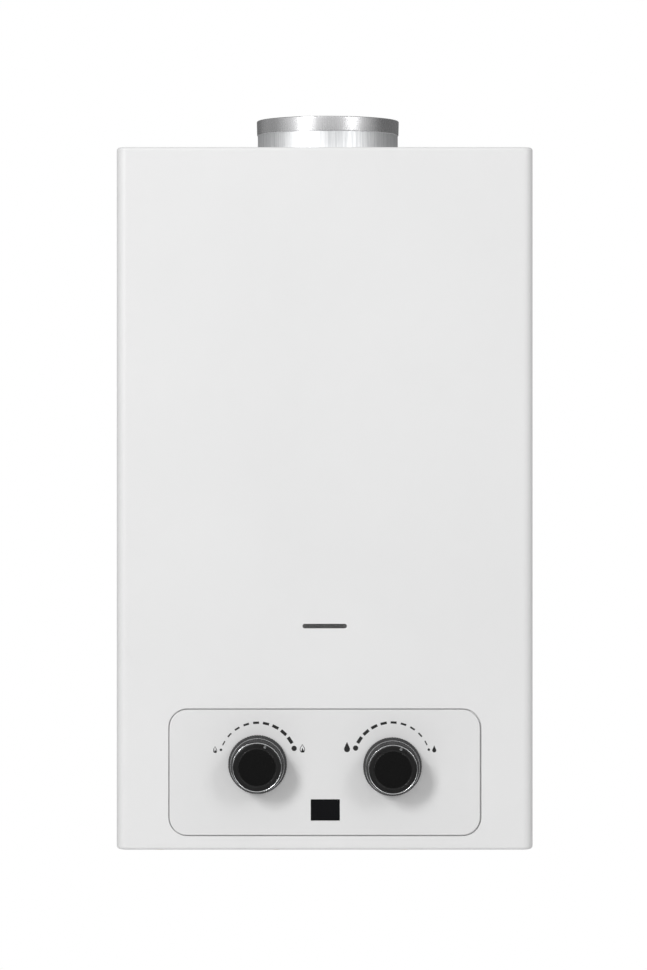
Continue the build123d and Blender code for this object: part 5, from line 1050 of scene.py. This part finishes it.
# Flue collar: thin spigot with a hemmed rim
def make_collar():
    top = COVER_HALF_HEIGHT + COLLAR_RISE
    rim_low = top - COLLAR_RIM
    low = COVER_HALF_HEIGHT - COLLAR_SINK
    round_top = 0.9
    profile = [(53.2, low), (65.8, low), (66.0, low + 0.2), (66.0, low + 0.8), (65.8, low + 1.0)]
    profile += [(55.0, low + 1.0), (54.45, low + 1.1), (54.2, low + 1.5)]
    profile += [(54.2, low + 8), (54.2, low + 16), (54.2, low + 24), (54.2, rim_low - 0.1), (54.3, rim_low)]
    profile += [(54.6, rim_low + 0.05), (54.7, rim_low + 0.15), (54.75, rim_low + 0.4), (54.86, rim_low + 5)]
    for step in range(7):
        angle = radians(90 * step / 6)
        profile.append((55.0 - round_top * (1 - cos(angle)), top - round_top + round_top * sin(angle)))
    for step in range(7):
        angle = radians(90 * step / 6)
        profile.append((53.0 + round_top * (1 - sin(angle)), top - round_top + round_top * cos(angle)))
    profile += [(53.0, rim_low), (53.2, rim_low - 0.3), (53.2, low + 10)]
    points, faces = lathe(profile, 256)
    collar = mesh_piece(
        "collar_spigot", moved(points, CORE_X, CORE_Y, 0), faces, "casing", "galvanised_sheet"
    )
    tools = []
    for turn in range(4):
        angle = radians(45 + 90 * turn)
        cx = CORE_X + COLLAR_SCREW_RADIUS * cos(angle)
        cy = CORE_Y + COLLAR_SCREW_RADIUS * sin(angle)
        points, faces = prism_points(circle(SCREW_HOLE, 24), 0, 1)
        tools.append(cutter([(cx + u, cy + v, low - 2 + 5 * l) for u, l, v in points], faces))
    cut(collar, tools)
    sharpen(collar, 50)
    weight_normals(collar)
    dress(collar, "galvanised_sheet")
    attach(collar, "casing")
    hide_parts("flue_collar")


make_collar()


# Pipe fittings with cut threads and chamfered hexagons
def make_fitting(name, node, x):
    low_corner, high_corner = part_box(node)
    low = low_corner.z / MM
    high = high_corner.z / MM
    thread_top = low + THREAD_LENGTH
    plate_top = -COVER_HALF_HEIGHT + BOTTOM_TOP_RISE
    segments = 64
    steps = 92
    points = []
    for row in range(steps + 1):
        z = low + THREAD_LENGTH * row / steps
        for turn in range(segments):
            angle = 2 * pi * turn / segments
            phase = (z / THREAD_PITCH - turn / segments) % 1.0
            ridge = 1 - abs(2 * phase - 1)
            lead = min(1.0, (z - low) / 1.2, (thread_top - z) / 1.5)
            radius = THREAD_RADIUS - THREAD_DEPTH * (1 - min(1.0, 1.25 * ridge) * max(lead, 0.0))
            points.append((radius * cos(angle), radius * sin(angle), z))
    faces = []
    for row in range(steps):
        faces += ring_faces(row * segments, (row + 1) * segments, segments)
    count = steps * segments
    inner = [(9.2, thread_top), (9.2, plate_top), (9.0, plate_top + 8.0), (9.0, high - 0.3), (8.8, high)]
    inner += [(6.7, high), (6.4, high - 0.3), (6.4, low + 0.5), (6.9, low)]
    start = len(points)
    for radius, z in inner:
        for turn in range(segments):
            angle = 2 * pi * turn / segments
            points.append((radius * cos(angle), radius * sin(angle), z))
    chain = [count] + [start + i * segments for i in range(len(inner))] + [0]
    for a, b in zip(chain, chain[1:]):
        faces += ring_faces(a, b, segments)
    hexagon = []
    for z, limit in (
        (plate_top, 14.3), (plate_top + 0.9, 15.6), (plate_top + 7.1, 15.6), (plate_top + 8.0, 14.3),
    ):
        ring = []
        for turn in range(HEX_STEPS):
            angle = 2 * pi * turn / HEX_STEPS
            folded = (angle + pi / 6) % (pi / 3) - pi / 6
            ring.append((min(HEX_HALF / cos(folded), limit), angle, z))
        hexagon.append(ring)
    hex_points = []
    hex_faces = []
    bottom_ring = [(9.1, 2 * pi * t / HEX_STEPS, plate_top) for t in range(HEX_STEPS)]
    top_ring = [(8.95, 2 * pi * t / HEX_STEPS, plate_top + 8.0) for t in range(HEX_STEPS)]
    rings = [bottom_ring] + hexagon + [top_ring]
    for ring in rings:
        hex_points += [(r * cos(a), r * sin(a), z) for r, a, z in ring]
    for row in range(len(rings) - 1):
        hex_faces += ring_faces(row * HEX_STEPS, (row + 1) * HEX_STEPS, HEX_STEPS)
    all_points, all_faces = joined((points, faces), (hex_points, hex_faces))
    piece = mesh_piece(name, moved(all_points, x, PIPE_Y, 0), all_faces, "casing", "brass_part")
    sharpen(piece, 40)
    dress(piece, "brass_part")
    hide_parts(node)


make_fitting("gas_nipple", "gas_inlet_fitting", -38.0)
make_fitting("cold_nipple", "cold_inlet_fitting", 62.0)
make_fitting("hot_nipple", "hot_outlet_fitting", -128.0)


# Return spring of the gas valve; in the valve it shortens as the link pushes the disc towards the end plug,
# and here it is wound at one length between the packed spring's ends
SPRING_TURNS = 6
SPRING_WIRE = 0.5
SPRING_COIL = 5.5
COIL_STEPS = 32
WIRE_SIDES = 10


def make_spring():
    low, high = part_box("valve_spring")
    first = high[0] / MM - SPRING_WIRE
    last = low[0] / MM + SPRING_WIRE
    middle_y = (low[1] + high[1]) / 2 / MM
    middle_z = (low[2] + high[2]) / 2 / MM
    rings = SPRING_TURNS * COIL_STEPS
    advance = (last - first) / (2 * pi * SPRING_TURNS)
    points = []
    faces = []
    for row in range(rings + 1):
        angle = 2 * pi * row / COIL_STEPS
        centre = Vector((first + advance * angle, SPRING_COIL * cos(angle), SPRING_COIL * sin(angle)))
        outward = Vector((0, cos(angle), sin(angle)))
        along = Vector((advance, -SPRING_COIL * sin(angle), SPRING_COIL * cos(angle))).normalized()
        across = along.cross(outward)
        for side in range(WIRE_SIDES):
            turn = 2 * pi * side / WIRE_SIDES
            points.append(centre + (outward * cos(turn) + across * sin(turn)) * SPRING_WIRE)
    for row in range(rings):
        faces += ring_faces(row * WIRE_SIDES, (row + 1) * WIRE_SIDES, WIRE_SIDES)
    faces.append(tuple(range(WIRE_SIDES)))
    faces.append(tuple(range(rings * WIRE_SIDES, (rings + 1) * WIRE_SIDES)))
    spring = mesh_piece("return_spring", moved(points, 0, middle_y, middle_z), faces, "casing", "zinc_screw")
    sharpen(spring, 60)
    dress(spring, "zinc_screw")
    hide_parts("valve_spring")
    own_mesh(spring)


make_spring()


# Pale floor below the heater
FLOOR_HALF = 2.6
FLOOR_REAR = 2.2
FLOOR_Z = -1.3
corners = [(-FLOOR_HALF, -FLOOR_HALF), (FLOOR_HALF, -FLOOR_HALF)]
corners += [(FLOOR_HALF, FLOOR_REAR), (-FLOOR_HALF, FLOOR_REAR)]
floor_mesh = bpy.data.meshes.new("floor")
floor_mesh.from_pydata([(x, y, FLOOR_Z) for x, y in corners], [], [(0, 1, 2, 3)])
ground = link(bpy.data.objects.new("floor", floor_mesh))
pale = Build("pale_floor")
patches = pale.spread(pale.noise(2.0, 3.0), 0.3, 0.7, 0.0, 1.0)
pale.colour(pale.mix(patches, (0.84, 0.84, 0.84), (0.88, 0.88, 0.88)))
pale.rough(0.7)
ground.data.materials.append(pale.material)
